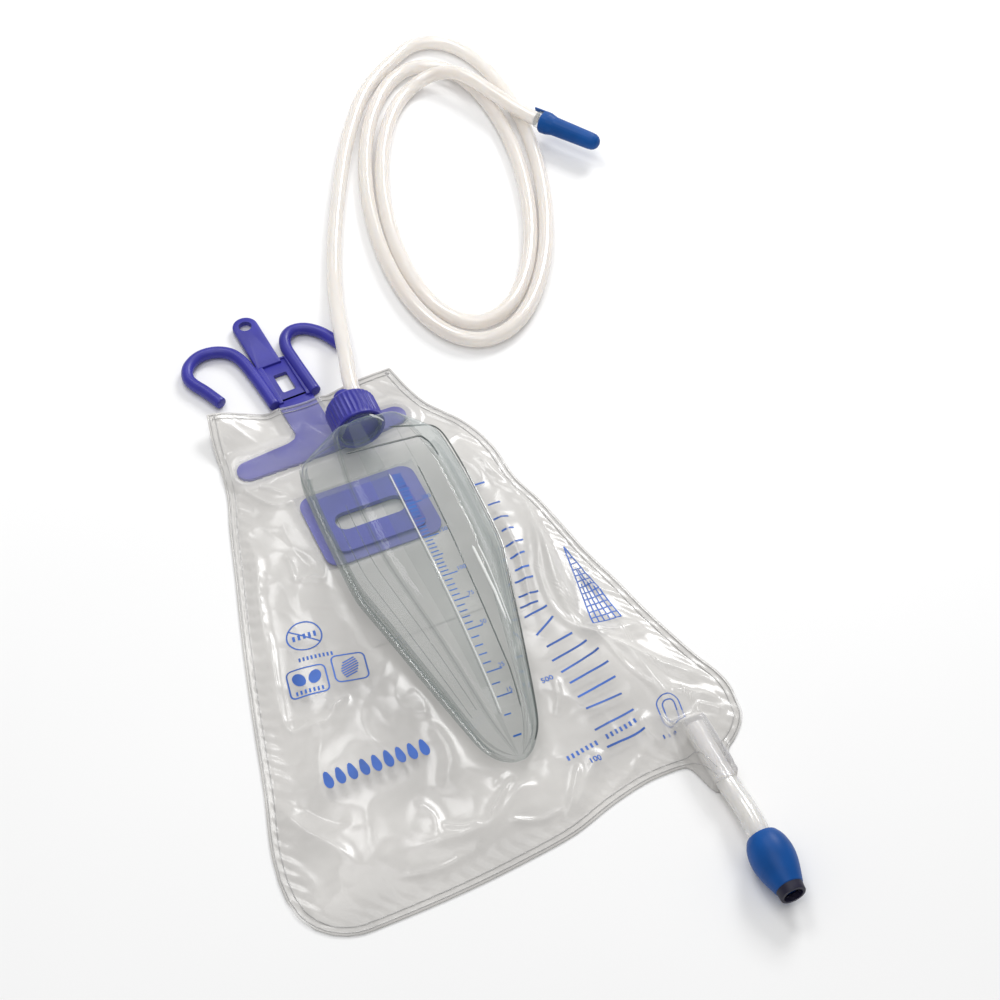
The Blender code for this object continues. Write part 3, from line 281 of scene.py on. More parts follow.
def tube_rings(path, radii, sides):
    """Rings of a round tube along path, with no twist."""
    rings, side = [], None
    for i, point in enumerate(path):
        before, after = path[max(i - 1, 0)], path[min(i + 1, len(path) - 1)]
        along = (after - before).normalized()
        if side is None:
            side = along.cross(Vector((0, 0, 1))).normalized()
        side = (side - along * side.dot(along)).normalized()
        up = side.cross(along)
        rings.append([
            point + (side * math.cos(TURN * k / sides) + up * math.sin(TURN * k / sides)) * radii[i]
            for k in range(sides)
        ])
    return rings


def bead(shell, line, radius, tip=0.15, sides=8, look=0):
    """A thin round line with fine ends."""
    shell.loft(tube_rings(line, [tip] + [radius] * (len(line) - 2) + [tip], sides), look=look)


def arc(centre, radius, start, end, steps):
    bearings = (math.radians(start + (end - start) * k / steps) for k in range(steps + 1))
    return [(centre[0] + radius * math.cos(a), centre[1] + radius * math.sin(a)) for a in bearings]


def rounded_box(centre, size, radius):
    hx, hy = size[0] / 2 - radius, size[1] / 2 - radius
    corners = ((hx, hy, 0), (-hx, hy, 90), (-hx, -hy, 180), (hx, -hy, 270))
    return [
        point
        for dx, dy, start in corners
        for point in arc((centre[0] + dx, centre[1] + dy), radius, start, start + 90, 4)
    ]


# Materials

def principled(name, colour, roughness, alpha=1.0, ior=1.45, specular=0.5):
    made = bpy.data.materials.new(name)
    made.use_nodes = True
    shader = made.node_tree.nodes["Principled BSDF"]
    shader.inputs["Base Color"].default_value = (*colour, 1)
    shader.inputs["Roughness"].default_value = roughness
    shader.inputs["Alpha"].default_value = alpha
    shader.inputs["IOR"].default_value = ior
    shader.inputs["Specular IOR Level"].default_value = specular
    return made, made.node_tree, shader


def node(tree, kind, **inputs):
    made = tree.nodes.new(kind)
    for name, value in inputs.items():
        made.inputs[name.replace("_", " ")].default_value = value
    return made


def link(tree, source, output, target, socket):
    tree.links.new(source.outputs[output], target.inputs[socket])


def grain_over(tree, scale, detail):
    """Noise over the object."""
    grain = node(tree, "ShaderNodeTexNoise", Scale=scale, Detail=detail)
    link(tree, node(tree, "ShaderNodeTexCoord"), "Object", grain, "Vector")
    return grain


def drift(tree, shader, scale, detail, low, high, stops=(0.35, 0.65)):
    """Lets the colour drift between two tones with noise, and gives the noise."""
    grain = grain_over(tree, scale, detail)
    ramp = node(tree, "ShaderNodeValToRGB")
    for element, stop, tone in zip(ramp.color_ramp.elements, stops, (low, high)):
        element.position, element.color = stop, (*tone, 1)
    link(tree, grain, "Fac", ramp, "Fac")
    link(tree, ramp, "Color", shader, "Base Color")
    return grain


def bump(tree, shader, scale, distance, strength):
    rise = node(tree, "ShaderNodeBump", Strength=strength, Distance=distance)
    link(tree, grain_over(tree, scale, 3), "Fac", rise, "Height")
    link(tree, rise, "Normal", shader, "Normal")


def moulded(name, colour, roughness, spread=0.12, specular=0.5):
    """Opaque moulded plastic: slight colour drift, satin gloss that varies, a fine grain."""
    made, tree, shader = principled(name, colour, roughness, specular=specular)
    low = tuple(c * (1 - spread) for c in colour)
    high = tuple(min(1, c * (1 + spread)) for c in colour)
    grain = drift(tree, shader, 55, 4, low, high)
    gloss = node(tree, "ShaderNodeMapRange", To_Min=roughness - 0.08, To_Max=roughness + 0.1)
    link(tree, grain, "Fac", gloss, "Value")
    link(tree, gloss, "Result", shader, "Roughness")
    bump(tree, shader, 900, 0.0002, 0.12)
    return made


def see_through(name, colour, roughness, facing, grazing, power, shade=0.75, grain=(40, 0.0006, 0.15)):
    """Clear plastic: lets light by head on and closes up towards its edges, as a thin wall does."""
    made, tree, shader = principled(name, colour, roughness, facing, 1.6, 1.0)
    drift(tree, shader, 18, 3, tuple(c * shade for c in colour), colour)
    curve = node(tree, "ShaderNodeMath")
    curve.operation = "POWER"
    curve.inputs[1].default_value = power
    alpha = node(tree, "ShaderNodeMapRange", To_Min=facing, To_Max=grazing)
    link(tree, node(tree, "ShaderNodeLayerWeight", Blend=0.5), "Facing", curve, 0)
    link(tree, curve, "Value", alpha, "Value")
    link(tree, alpha, "Result", shader, "Alpha")
    bump(tree, shader, *grain)
    return made


def milky(look, weight):
    """Lets light scatter inside a soft plastic."""
    inputs = look.node_tree.nodes["Principled BSDF"].inputs
    inputs["Subsurface Weight"].default_value = weight
    inputs["Subsurface Radius"].default_value = (1.0, 0.95, 0.85)
    inputs["Subsurface Scale"].default_value = 0.003
    return look


def back_look():
    """Milky film with soft waves. Its colour drifts between darker and lighter tones with noise: painted
    reflections of wrinkles.
    """
    made, tree, shader = principled("back_film_look", (0.62, 0.615, 0.60), 0.3)
    drift(tree, shader, 15, 4, (0.48, 0.47, 0.455), (0.75, 0.735, 0.71), (0.3, 0.7))
    bump(tree, shader, 30, 0.004, 0.7)
    return made


VIOLET = moulded("violet_moulding_look", (0.033, 0.031, 0.31), 0.36)
PORT_BLUE = moulded("port_blue_look", (0.085, 0.09, 0.46), 0.42)
VALVE_BLUE = moulded("valve_blue_look", (0.002, 0.07, 0.29), 0.42, specular=0.25)
# Dark blue for the valve's seals, and painted shade on the bulb nozzle's end and mouth.
NAVY_SEAL_AND_SHADE = moulded("seal_look", (0.004, 0.003, 0.022), 0.5)
WHITE_SEAL = moulded("white_seal_look", (0.82, 0.82, 0.80), 0.5, 0.04)
WHITE_PART = moulded("white_moulding_look", (0.80, 0.80, 0.78), 0.4, 0.04)
INK = moulded("blue_print_look", (0.035, 0.12, 0.46), 0.45, 0.2)
SCALE_INK = moulded("scale_print_look", (0.02, 0.12, 0.44), 0.4, 0.15)
FILM_GRAIN = (140, 0.0004, 0.2)
FRONT_FILM = see_through("front_film_look", (0.90, 0.882, 0.858), 0.2, 0.34, 0.9, 2.2, 0.88, FILM_GRAIN)
WELDED = see_through("welded_film_look", (0.80, 0.80, 0.88), 0.16, 0.14, 0.8, 2.4, 0.9, FILM_GRAIN)
WELD_LINE = see_through("weld_line_look", (0.55, 0.545, 0.54), 0.2, 0.55, 0.9, 2.0)
RIGID = see_through("clear_rigid_look", (0.31, 0.39, 0.38), 0.05, 0.1, 0.85, 3.2, 0.85)
# Painted shade for the chamber's rounded edges and contour lines.
RIGID_EDGE_SHADE = see_through("clear_edge_shade_look", (0.22, 0.27, 0.26), 0.05, 0.26, 0.9, 2.4, 0.85)
# Painted highlight lines on the chamber and on the neck.
RIGID_HIGHLIGHT = see_through("clear_highlight_look", (0.97, 0.98, 0.97), 0.05, 0.86, 0.97, 2.0, 0.98)
# Painted dark shade lines on the chamber.
RIGID_DEEP_SHADE = see_through("clear_deep_shade_look", (0.08, 0.10, 0.095), 0.12, 0.7, 0.9, 2.0, 0.9)
BORE = milky(moulded("tube_bore_look", (0.96, 0.94, 0.90), 0.3, 0.02), 0.7)
TUBE = milky(see_through("tube_look", (0.935, 0.88, 0.835), 0.12, 0.66, 0.72, 1.6, 0.985), 1.0)
BACK_PLY = back_look()


# Camera

def add_camera():
    data = bpy.data.cameras.new("photo_camera")
    data.lens, data.sensor_width = CAMERA_LENS, CAMERA_SENSOR
    made = new_object("photo_camera", data)
    made.location = CAMERA_AT
    made.rotation_euler = (CAMERA_TILT, 0, CAMERA_TURN)
    bpy.context.scene.camera = made


# Tube, along the same route as its solids

TUBE_RUN = (
    (24.5, 36, 15.6), (30.0, 57, 12.2), (36.5, 80, 7.6), (44.5, 104, 4.5), (54.5, 129, 4.2),
    (67.5, 157, 4.2), (86.0, 193, 4.2),
)
BESIDE_TURNS, TURN_STEP, EASINGS = (0.84, 0.88, 0.92), 0.004, 6
TAIL_OUT, TAIL_IN, TAIL_CLIMB, TAIL_DROP = 20, 26, 40, (11, 2)


def coil_point(turns):
    """A place on the coil's middle line, from how many turns along it lies."""
    share = smooth_step(*INWARD, turns)
    half, length, shift = (outer + (inner - outer) * share for outer, inner in zip(COIL_OUTER, COIL_INNER))
    across, along = half * math.sin(TURN * turns), shift + length * math.cos(TURN * turns)
    c, s = math.cos(COIL_LEAN), math.sin(COIL_LEAN)
    return Vector((COIL_AT[0] + across * c + along * s, COIL_AT[1] - across * s + along * c, CORD_Z))


def coil_heading(turns):
    return (coil_point(turns + 0.002) - coil_point(turns - 0.002)).normalized()


def beside_coil(turns, distance):
    heading = coil_heading(turns)
    return coil_point(turns) + Vector((-heading.y, heading.x, 0)) * distance


def tail_route():
    """From the coil's inner turn over the tubes to the connector."""
    early = [coil_point(COIL_END + (TAIL_LEAVES - COIL_END) * k / 6) for k in range(6)]
    start, joint = coil_point(TAIL_LEAVES), Vector((*CONNECTOR_AT[:2], CORD_Z))
    arrive = Vector((math.cos(CONNECTOR_HEADING), math.sin(CONNECTOR_HEADING), 0))
    end = joint - arrive * 0.3
    first, last = start + coil_heading(TAIL_LEAVES) * TAIL_OUT, end - arrive * TAIL_IN
    late = [
        start * (1 - t) ** 3 + first * 3 * t * (1 - t) ** 2 + last * 3 * t * t * (1 - t) + end * t ** 3
        for t in (k / 16 for k in range(17))
    ]
    made = early + late
    walked = [0.0]
    for p, q in zip(made, made[1:]):
        walked.append(walked[-1] + (q - p).length)
    drop = [walked[-1] - way for way in TAIL_DROP]
    for point, way in zip(made, walked):
        point.z += (CROSS_Z - CORD_Z) * smooth_step(0, TAIL_CLIMB, way)
        point.z -= (CROSS_Z - CONNECTOR_AT[2]) * smooth_step(*drop, way)
    return made


def tube_path():
    """From the cap's socket round the coil to the connector, with its bends eased."""
    spin = Matrix.Rotation(CHAMBER_LEAN, 4, "Z")
    socket = Vector((SOCKET_PLACE[0], CAP_TOP - 0.2, NECK_Z + SOCKET_PLACE[1]))
    start = spin @ socket + Vector((*CHAMBER_AT, 0))
    route = [start, start + spin @ Vector((0, 12, 0)) + Vector((0, 0, 0.4)), *TUBE_RUN]
    route += [beside_coil(turns, 2 * CORD_R + 6 * GAP) for turns in BESIDE_TURNS]
    route.append(coil_point(COIL_START))
    dense = spline(route, 2)[:-1]
    steps = round((COIL_END - COIL_START) / TURN_STEP)
    dense += [coil_point(COIL_START + (COIL_END - COIL_START) * k / steps) for k in range(steps)]
    dense += spline(tail_route(), 2)
    line = evenly(dense, 3)
    for _ in range(EASINGS):
        middle = [(a + b * 2 + c) / 4 for a, b, c in zip(line, line[1:], line[2:])]
        line = [line[0], *middle, line[-1]]
    return evenly(line, 4)


def add_tube():
    path = tube_path()
    wall = Solid()
    wall.loft(tube_rings(path, [CORD_R] * len(path), 24))
    made = wall.piece("inlet_line", TUBE)
    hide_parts("inlet_tube", "tube_coil", "tube_tail")


# Films

# Place down the bag, half width there
LEFT_EDGE = (
    (34, 52), (18, 55), (2, 56.5), (-15, 59.5), (-33, 65), (-63, 73), (-92, 81), (-127, 90), (-152, 96),
    (-182, 103), (-210, 110.5), (-227, 113),
)
RIGHT_EDGE = (
    (34, 47), (16, 50.5), (4, 54.5), (-4, 59.5), (-14, 66), (-26, 71), (-40, 74), (-60, 75), (-79, 80),
    (-99, 83.5), (-117, 86.5), (-139, 92), (-158, 96), (-177, 101), (-194, 106), (-206, 110.5), (-216, 112),
    (-240, 110),
)
# Share of the half width, from right to left, and place down the bag
BOTTOM_EDGE = (
    (0.95, -246), (0.75, -246.5), (0.5, -246), (0.32, -250), (0.12, -257), (-0.1, -260.5), (-0.35, -263),
    (-0.6, -264), (-1.0, -264),
)
CORNER_R, HEM_HALF = 28.0, 113.0
HEADER_TOP, HEADER_DIP, HEADER_HALF = 34.0, 6.5, 52.0
WELD_GROOVES = ((4.5, 0.55), (2.3, 0.45))     # how far in from the edge, and width
GROOVE_DEEP, FILM_LOWEST = 0.3, 0.45
PORT_MARGIN, SHOWS_OVER = 3.0, 1.5

# Broad swells: rise, middle, and reach across and along
SWELLS = ((0.9, -62, -150, 34, 75), (0.7, 70, -120, 22, 70), (0.55, 5, -243, 60, 22))
POUCH_RISE, SWELL_RISE, WAVE_RISE, PUCKER = 2.9, 3.6, 1.2, 0.22
UNDER_CHAMBER = 4.5                # the film's greatest height there

# A fold's crest is rounder with a higher value. It reaches FOLD_REACH half widths to each side.
MAIN_SHARP, CREASE_SHARP, FOLD_REACH = 1.3, 1.15, 4
# Main folds, as in the solids: points along each, height and half width
MAIN_FOLDS = (
    (((58, -22), (66, -50), (72, -73), (70, -92), (66, -117), (61, -144), (61, -159)), 3.2, 4.0),
    (((61, -157), (68, -170), (77, -184), (81, -205), (83, -226)), 3.0, 4.0),
    (((62, -160), (75, -168), (93, -168)), 2.6, 4.0),
    (((-58, -28), (-61, -60), (-69, -85), (-75, -113), (-81, -137), (-82, -152), (-78, -163)), 3.0, 4.6),
    (((-80, -160), (-72, -162), (-63, -161), (-52, -149)), 2.4, 4.0),
    (((-101, -186), (-95, -207), (-87, -221), (-78, -238)), 3.0, 4.4),
    (((12, -220), (-4, -231), (-21, -240), (-60, -237)), 2.6, 3.6),
    (((43, -224), (29, -236), (15, -250)), 2.4, 3.6),
    (((-22, -176), (-21, -193), (-24, -206), (-33, -218)), 2.6, 4.0),
)
# Small creases, some of them valleys
CREASES = (
    (((70, -97), (67, -119), (65, -144), (64, -158)), 1.6, 1.6),
    (((75, -78), (74, -100), (71, -122), (67, -140)), -1.2, 3.0),
    (((68, -170), (81, -186), (93, -198), (105, -210)), 2.4, 2.4),
    (((84, -206), (92, -213), (104, -219)), 1.8, 1.8),
    (((90, -218), (96, -222), (104, -228)), 1.8, 1.8),
    (((66, -212), (64, -224), (68, -234)), 1.6, 2.2),
    (((-54, -7), (-41, -31), (-24, -30)), 1.8, 2.0),
    (((-51, -80), (-43, -81), (-35, -83), (-31, -72)), 1.8, 2.2),
    (((-40, -36), (-42, -60), (-36, -84)), -1.0, 5.0),
    (((-23, -158), (-20, -168), (-24, -178)), 1.6, 2.4),
    (((-90, -120), (-96, -150), (-101, -182)), 1.6, 2.0),
    (((-64, -42), (-74, -80), (-84, -120)), -1.2, 3.0),
    (((-92, -192), (-84, -206), (-74, -216)), -1.6, 5.0),
    (((-70, -246), (-50, -250), (-30, -248)), 1.6, 2.4),
    (((-46, -214), (-40, -226), (-44, -238)), 1.5, 3.0),
    (((52, -60), (56, -90), (52, -120), (44, -150)), 1.2, 2.4),
    (((40, -178), (36, -192), (30, -200)), 1.6, 2.0),
    (((58, -232), (48, -240), (36, -243)), 1.6, 2.2),
    (((74, -132), (82, -142), (93, -150)), 1.3, 2.0),
    (((-12, -224), (0, -214), (-6, -206)), 1.2, 2.4),
    (((72, -65), (72, -87), (68, -109), (63, -130), (61, -155), (66, -168), (80, -173), (98, -173)),
     1.3, 1.2),
    (((70, -84), (66, -104), (58, -126), (56, -148), (62, -164), (75, -168)), 1.1, 1.3),
    (((55, -141), (61, -161), (68, -173), (73, -192), (79, -208), (77, -223)), 1.2, 1.3),
    (((82, -183), (89, -198), (100, -208)), 1.2, 1.3),
    (((84, -208), (96, -216), (105, -223)), 1.2, 1.4),
    (((6, -217), (-8, -228), (-21, -240)), 2.6, 1.7),
    (((-21, -238), (-32, -236), (-40, -230)), 1.6, 1.5),
    (((-14, -240), (2, -246), (16, -244)), 1.8, 1.6),
    (((30, -226), (21, -239), (12, -250)), 2.2, 1.8),
    (((-61, -20), (-68, -57), (-83, -102), (-92, -140), (-97, -163)), 1.3, 1.6),
    (((-69, -98), (-77, -129), (-82, -152), (-79, -160), (-67, -158)), 1.2, 1.4),
    (((-63, -158), (-57, -156), (-50, -151)), 1.3, 1.3),
    (((-53, -4), (-42, -16), (-30, -30)), 1.2, 1.6),
    (((-47, -61), (-47, -70), (-49, -81)), 1.6, 1.4),
)


def film_edge(y, side):
    """The film's half width at a place along it."""
    return curved_table(LEFT_EDGE if side < 0 else RIGHT_EDGE, y)


def bottom_of(share):
    """Where the film's lower edge lies, with round corners."""
    edge = curved_table(BOTTOM_EDGE, share) if share < 0.95 else -246
    turn_in = CORNER_R / HEM_HALF
    beyond = max(0.0, abs(share) - (1 - turn_in)) / turn_in
    return edge + CORNER_R * (1 - math.sqrt(max(0.0, 1 - beyond * beyond)))


def neck_share(x):
    return 1 / (1 + ((x - NECK_X) / NECK_HALF) ** 8)


def by_hanger(x, y):
    """How far a place lies from the hanger's middle line, along it, and past the bar's straight part."""
    dx, dy = local(x, y, HANGER_AT, HANGER_LEAN)
    return abs(dx), dy, max(0.0, abs(dx) - (BAR_LENGTH - BAR_END) / 2)


def hanger_cover(x, y):
    """1 over the hanger's bar and stem, 0 away from them."""
    across, along, past = by_hanger(x, y)
    away = math.hypot(past, max(0.0, abs(along) - 1.0)) - BAR_MIDDLE / 2
    over_stem = 1 - smooth_step(STEM_WIDTH / 2 + 0.5, STEM_WIDTH / 2 + 8, across)
    return max(1 - smooth_step(0.5, 8, away), over_stem * smooth_step(-9, 0, along))


def under_chamber(x, y):
    """1 below the chamber, the cap and the flange, fading out beside them."""
    px, py = local(x, y, CHAMBER_AT, CHAMBER_LEAN)
    half = straight_table([(row[0], row[1]) for row in CHAMBER_PROFILE], py)
    return (1 - smooth_step(half, half + 11, abs(px))) * smooth_step(8, 2, py) * smooth_step(-231, -219, py)


def boxed(folds):
    """The folds with smooth lines, each with the box that it reaches."""
    made = []
    for points, rise, width in folds:
        line, reach = spline(points, 3), FOLD_REACH * width
        box = [(min(row) - reach, max(row) + reach) for row in zip(*line)]
        made.append((line, rise, width, *box))
    return made


def fold_height(x, y, folds, sharp):
    """How far folds lift the film at a place."""
    total, here = 0.0, Vector((x, y))
    for points, rise, width, (left, right), (low, high) in folds:
        if not (left < x < right and low < y < high):
            continue
        best, along = 1e9, 0.0
        for k, (a, b) in enumerate(zip(points, points[1:])):
            t = min(1.0, max(0.0, (here - a).dot(b - a) / (b - a).length_squared))
            distance = (here - a.lerp(b, t)).length
            if distance < best:
                best, along = distance, (k + t) / (len(points) - 1)
        if best < FOLD_REACH * width:
            ends = smooth_step(0, 0.25, along) * smooth_step(1, 0.75, along)
            total += rise * ends * math.exp(-(best / width) ** sharp)
    return total


MAIN_LINES, CREASE_LINES = boxed(MAIN_FOLDS), boxed(CREASES)


def header_curl(x, y):
    """The header's left corner lifts off the table."""
    return 9.0 * smooth_step(32, 0, math.hypot(x + 52, y - 34))


def crest(value):
    """A sharp crest where a noise value passes through nothing."""
    return max(0.0, 1 - 3.2 * abs(value)) ** 2


def film_height(x, y, inset):
    """Height of the front film: folds, swells, what lies under it, and the weld's grooves."""
    weld = FILM + GAP
    pouch = smooth_step(2, 30, inset) * smooth_step(2, -26, y)
    edge = smooth_step(2, 11, inset) * smooth_step(2, -20, y)
    swell = sum(rise * math.exp(-((x - at_x) / wide) ** 2 - ((y - at_y) / tall) ** 2)
                for rise, at_x, at_y, wide, tall in SWELLS)
    beside = 1 - under_chamber(x, y)
    wave = noise.noise(Vector((x / 26, y / 36, 3.1)))
    small = noise.noise(Vector((x / 10, y / 13, 7.7)))
    ridge = crest(noise.noise(Vector((x / 27 + wave, y / 44, 1.3)))) * 0.45
    ridge += crest(noise.noise(Vector((x / 17 + y / 30, y / 24 - x / 40, 5.9)))) * 0.15
    height = weld + (POUCH_RISE + (SWELL_RISE * swell + WAVE_RISE * wave) * beside) * pouch
    height += (0.25 * small + ridge + fold_height(x, y, MAIN_LINES, MAIN_SHARP)) * edge * beside
    height += fold_height(x, y, CREASE_LINES, CREASE_SHARP) * edge * beside
    pucker = smooth_step(15, 6, inset) * smooth_step(0.5, 5, inset)
    height += math.sin(x * 0.8 + y * 0.7 + 3 * wave) * PUCKER * pucker
    height = max(height, weld - 0.1, weld + (PLATE_THICK + 0.35) * hanger_cover(x, y))
    drain = 1 - smooth_step(DRAIN_START + 1, DRAIN_START + 12, y)
    height = max(height, weld + (2 * DRAIN_R + 1.4) * neck_share(x) * drain)
    header = smooth_step(-2, 6, y) * smooth_step(1, 8, inset)
    height += header * (0.5 * noise.noise(Vector((x / 18, y / 13, 9.0))) + 0.5 * ridge)
    height = min(height, UNDER_CHAMBER + 12 * beside) if beside < 0.98 else height
    groove = sum(math.exp(-((inset - place) / width) ** 2) for place, width in WELD_GROOVES)
    return max(height - GROOVE_DEEP * groove, FILM_LOWEST) + header_curl(x, y)


def film_place(share, row):
    """A place on the film and its distance from the edge, from shares of its width and length."""
    bottom = bottom_of(share)
    bottom += (NECK_END - bottom) * neck_share(share * HEM_HALF)
    away = (share * HEADER_HALF - HANGER_AT[0]) / 26
    top = HEADER_TOP - HEADER_DIP * math.exp(-away * away)
    y = top + (bottom - top) * row
    half = film_edge(y, share)
    x = share * (half + (HEM_HALF - half) * smooth_step(-222, -232, y))
    inset = min((1 - abs(share)) * half, top - y, y - bottom)
    return x, y, inset


def in_box(x, y, at, size, over):
    """True inside a box of that size, grown by over."""
    return abs(x - at[0]) < size[0] / 2 + over and abs(y - at[1]) < size[1] / 2 + over


def lies_on_moulding(x, y):
    """True where the film lies close on the hanger's bar, its stem, the port's flange or the drain tube."""
    if in_box(x, y, FLANGE_AT, FLANGE_SIZE, SHOWS_OVER):
        return True
    if abs(x - NECK_X) < DRAIN_R + 1 and y < DRAIN_START + 2:
        return True
    across, along, past = by_hanger(x, y)
    rise = BAR_END / 2 + (BAR_MIDDLE - BAR_END) / 2 * (1 - min(1.0, across / 40))
    fillet = 4.0 * max(0.0, 1 - abs(along - 9) / 4)
    on_stem = along > 0 and across < STEM_WIDTH / 2 + SHOWS_OVER + fillet
    return on_stem or math.hypot(past, along) < rise + SHOWS_OVER


def rim_of(across, down):
    """Numbers of a grid's outer points, in a round."""
    return ([c for c in range(across)]
            + [r * across + across - 1 for r in range(1, down)]
            + [(down - 1) * across + c for c in range(across - 2, -1, -1)]
            + [r * across for r in range(down - 2, 0, -1)])


def film_columns(step):
    """Shares of the half width, closer together at the drain's neck."""
    near = [(NECK_X + k * min(step, 1.0)) / HEM_HALF for k in range(-16, 17)]
    count = round(2 * HEM_HALF / step)
    wide = [2 * k / count - 1 for k in range(count + 1)]
    gap = 0.5 * step / HEM_HALF
    return sorted([share for share in wide if not near[0] - gap < share < near[-1] + gap] + near)


FILM_LONG, FILM_STEP, QUICK_STEP = 300, 1.0, 1.5
BACK_STEP, BACK_ROWS = 6.0, 48


def film_grid(step, count):
    """A film's number of columns and of rows, and its places and their distances from the edge."""
    columns, rows = film_columns(step), [k / count for k in range(count + 1)]
    return len(columns), len(rows), [film_place(share, row) for row in rows for share in columns]


def add_front_film():
    """The front ply with its opening over the port, turned down to the back ply along its rim."""
    step = FILM_STEP
    across, down, places = film_grid(step, round(FILM_LONG / step))
    points = [(x, y, film_height(x, y, inset)) for x, y, inset in places]
    faces, looks = [], []
    for quad in grid_quads(across, down):
        x, y = points[quad[0]][:2]
        if not in_box(x, y, FLANGE_AT, FRAME_SIZE, -PORT_MARGIN):
            faces.append(quad)
            looks.append(1 if lies_on_moulding(x, y) else 0)
    rim, base = rim_of(across, down), len(points)
    points += [(x, y, FILM * 0.5 + header_curl(x, y)) for x, y, _ in (points[i] for i in rim)]
    for k, (a, b) in enumerate(zip(rim, rim[1:] + rim[:1])):
        faces.append((a, b, base + (k + 1) % len(rim), base + k))
        looks.append(0)
    front = add_mesh("front_ply", points, faces, FRONT_FILM, smooth=180)
    front.data.materials.append(WELDED)
    front.data.polygons.foreach_set("material_index", looks)
    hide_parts("front_film")


def add_back_film():
    across, down, places = film_grid(BACK_STEP, BACK_ROWS)
    points = [(x, y, z + header_curl(x, y)) for z in (0, FILM) for x, y, _ in places]
    rim, layer = rim_of(across, down), len(places)
    faces = grid_quads(across, down, flip=True) + grid_quads(across, down, layer)
    faces += [(a, layer + a, layer + b, b) for a, b in zip(rim, rim[1:] + rim[:1])]
    sheet = Solid()
    sheet.add(points, faces)
    back = sheet.piece("back_ply", BACK_PLY, smooth=60)
    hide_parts("back_film")


REFLUX_AT, REFLUX_SIZE = (0.0, -86.0), (58.0, 84.0)


def add_reflux_valve():
    """The flat film tube under the flange, with soft edges."""
    across, down, low = 25, 41, FILM + GAP
    points = []
    for side in (1, 0):
        for r in range(down):
            v = r / (down - 1)
            for c in range(across):
                u = 2 * c / (across - 1) - 1
                ease = smooth_step(0, 0.45, 1 - abs(u)) * smooth_step(0, 0.14, v) * smooth_step(0, 0.3, 1 - v)
                x, y = REFLUX_AT[0] + u * REFLUX_SIZE[0] / 2, REFLUX_AT[1] + (0.5 - v) * REFLUX_SIZE[1]
                points.append((x, y, low + side * (0.1 + 0.9 * ease)))
    faces = grid_quads(across, down) + grid_quads(across, down, across * down, flip=True)
    made = add_mesh("reflux_tube", points, faces, BACK_PLY, smooth=60)
    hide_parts("reflux_valve")


# Print on the film

PRINT_LIFT = 0.12
LEVEL_WIDE, GRID_WIDE, SIGN_WIDE, TAG_WIDE = 1.1, 0.7, 0.75, 0.6      # widths of printed lines
BAR_SHARE = 0.42                   # a bar's width, as a share of its height

# Measure lines beside the chamber: left end and right end of each
LEVEL_LINES = (
    (53, -59, 59, -59), (54, -74.5, 60.5, -74), (52.5, -84, 60, -85), (53, -92.5, 59, -93.5),
    (51, -101.5, 60, -102), (50, -109, 57.5, -109), (49, -116.5, 56, -117.5), (46, -123, 55, -124),
    (44, -131.5, 53.5, -133), (42, -137.5, 51, -138), (41.5, -143.5, 53.5, -142.5), (42, -155.5, 53.5, -149),
    (43.5, -163.5, 57.5, -161.5), (42.5, -171.5, 61.5, -168.5), (43.5, -179, 64.5, -175),
    (44.5, -186, 65.5, -183), (44.5, -194.5, 65, -191.5), (45, -202, 63.5, -201), (43.5, -214, 64.5, -211),
    (44.5, -224.5, 64, -223),
)
# Figures on the film, with their left end and foot
FIGURES, FIGURE_SIZE = (("500", 33.0, -181), ("100", 33.5, -230)), 4.0
# Rows of bars beside the scale: first and last bar, count and height
LEVEL_BARS = (
    ((26, -223), (41, -220.5), 7, 2.6), ((47, -219.5), (62, -217), 7, 2.6),
    ((70.5, -229.6), (75.6, -230.1), 3, 1.8),
)
# The ruled wedge: its corners, its rows, and how far down each of its upright lines starts
WEDGE_APEX, WEDGE_LEFT, WEDGE_RIGHT = (77.4, -111), (68, -162.5), (83.6, -160.5)
WEDGE_ROWS, WEDGE_STARTS = 13, (0.0, 0.5, 0.32, 0.32, 0.5, 0.0)
SIGN_AT, SIGN_R, SIGN_TURN = (-56.6, -112.2), 8.2, math.radians(-10)
BOXES, BOX_TALL, BOX_CORNER = ((-64.4, -137.2, 18.0), (-43.8, -137.2, 15.4)), 15.2, 2.6   # middle and width
ROW_OF_DROPS, DROPS, DROP_SIZE = ((-75.5, -191), (-30, -191.8)), 9, 5.6
TAG_AT, TAG_TURN = (79.2, -219.0), math.radians(-8)
TAG_OUTLINES = (((10.5, 16.5), 4.4), ((5.6, 11.0), 2.4))              # size and corner


def film_top(x, y):
    """Height of the front film at a place on the part."""
    half = film_edge(y, x)
    share = max(-1.0, min(1.0, x / half))
    inset = min(half - abs(x), y - bottom_of(share), 60)
    return film_height(x, y, max(inset, 0))


def film_point(x, y):
    """A printed place on the front film."""
    return x, y, film_top(x, y) + PRINT_LIFT


def add_weld_lines():
    """Two fine raised lines along the bag's rim, where the plies are welded."""
    across, down, places = film_grid(QUICK_STEP, round(FILM_LONG / QUICK_STEP))
    rim = [Vector(places[i][:2]) for i in reversed(rim_of(across, down))]
    rim = evenly(rim + rim[:1], 1.5)[:-1]
    lines = Solid()
    for inset in (1.2, 3.9):
        path = [Vector((x, y, film_top(x, y) + 0.1)) for x, y in shrink(rim, inset)]
        mouth = [i for i, p in enumerate(path)
                 if p.y < NECK_END + inset + 1 and abs(p.x - NECK_X) < DRAIN_R + 1]
        bead(lines, path[mouth[-1] + 1:] + path[:mouth[0]], 0.22, 0.22, 6)
    made = lines.piece("weld_lines", WELD_LINE, smooth=60)


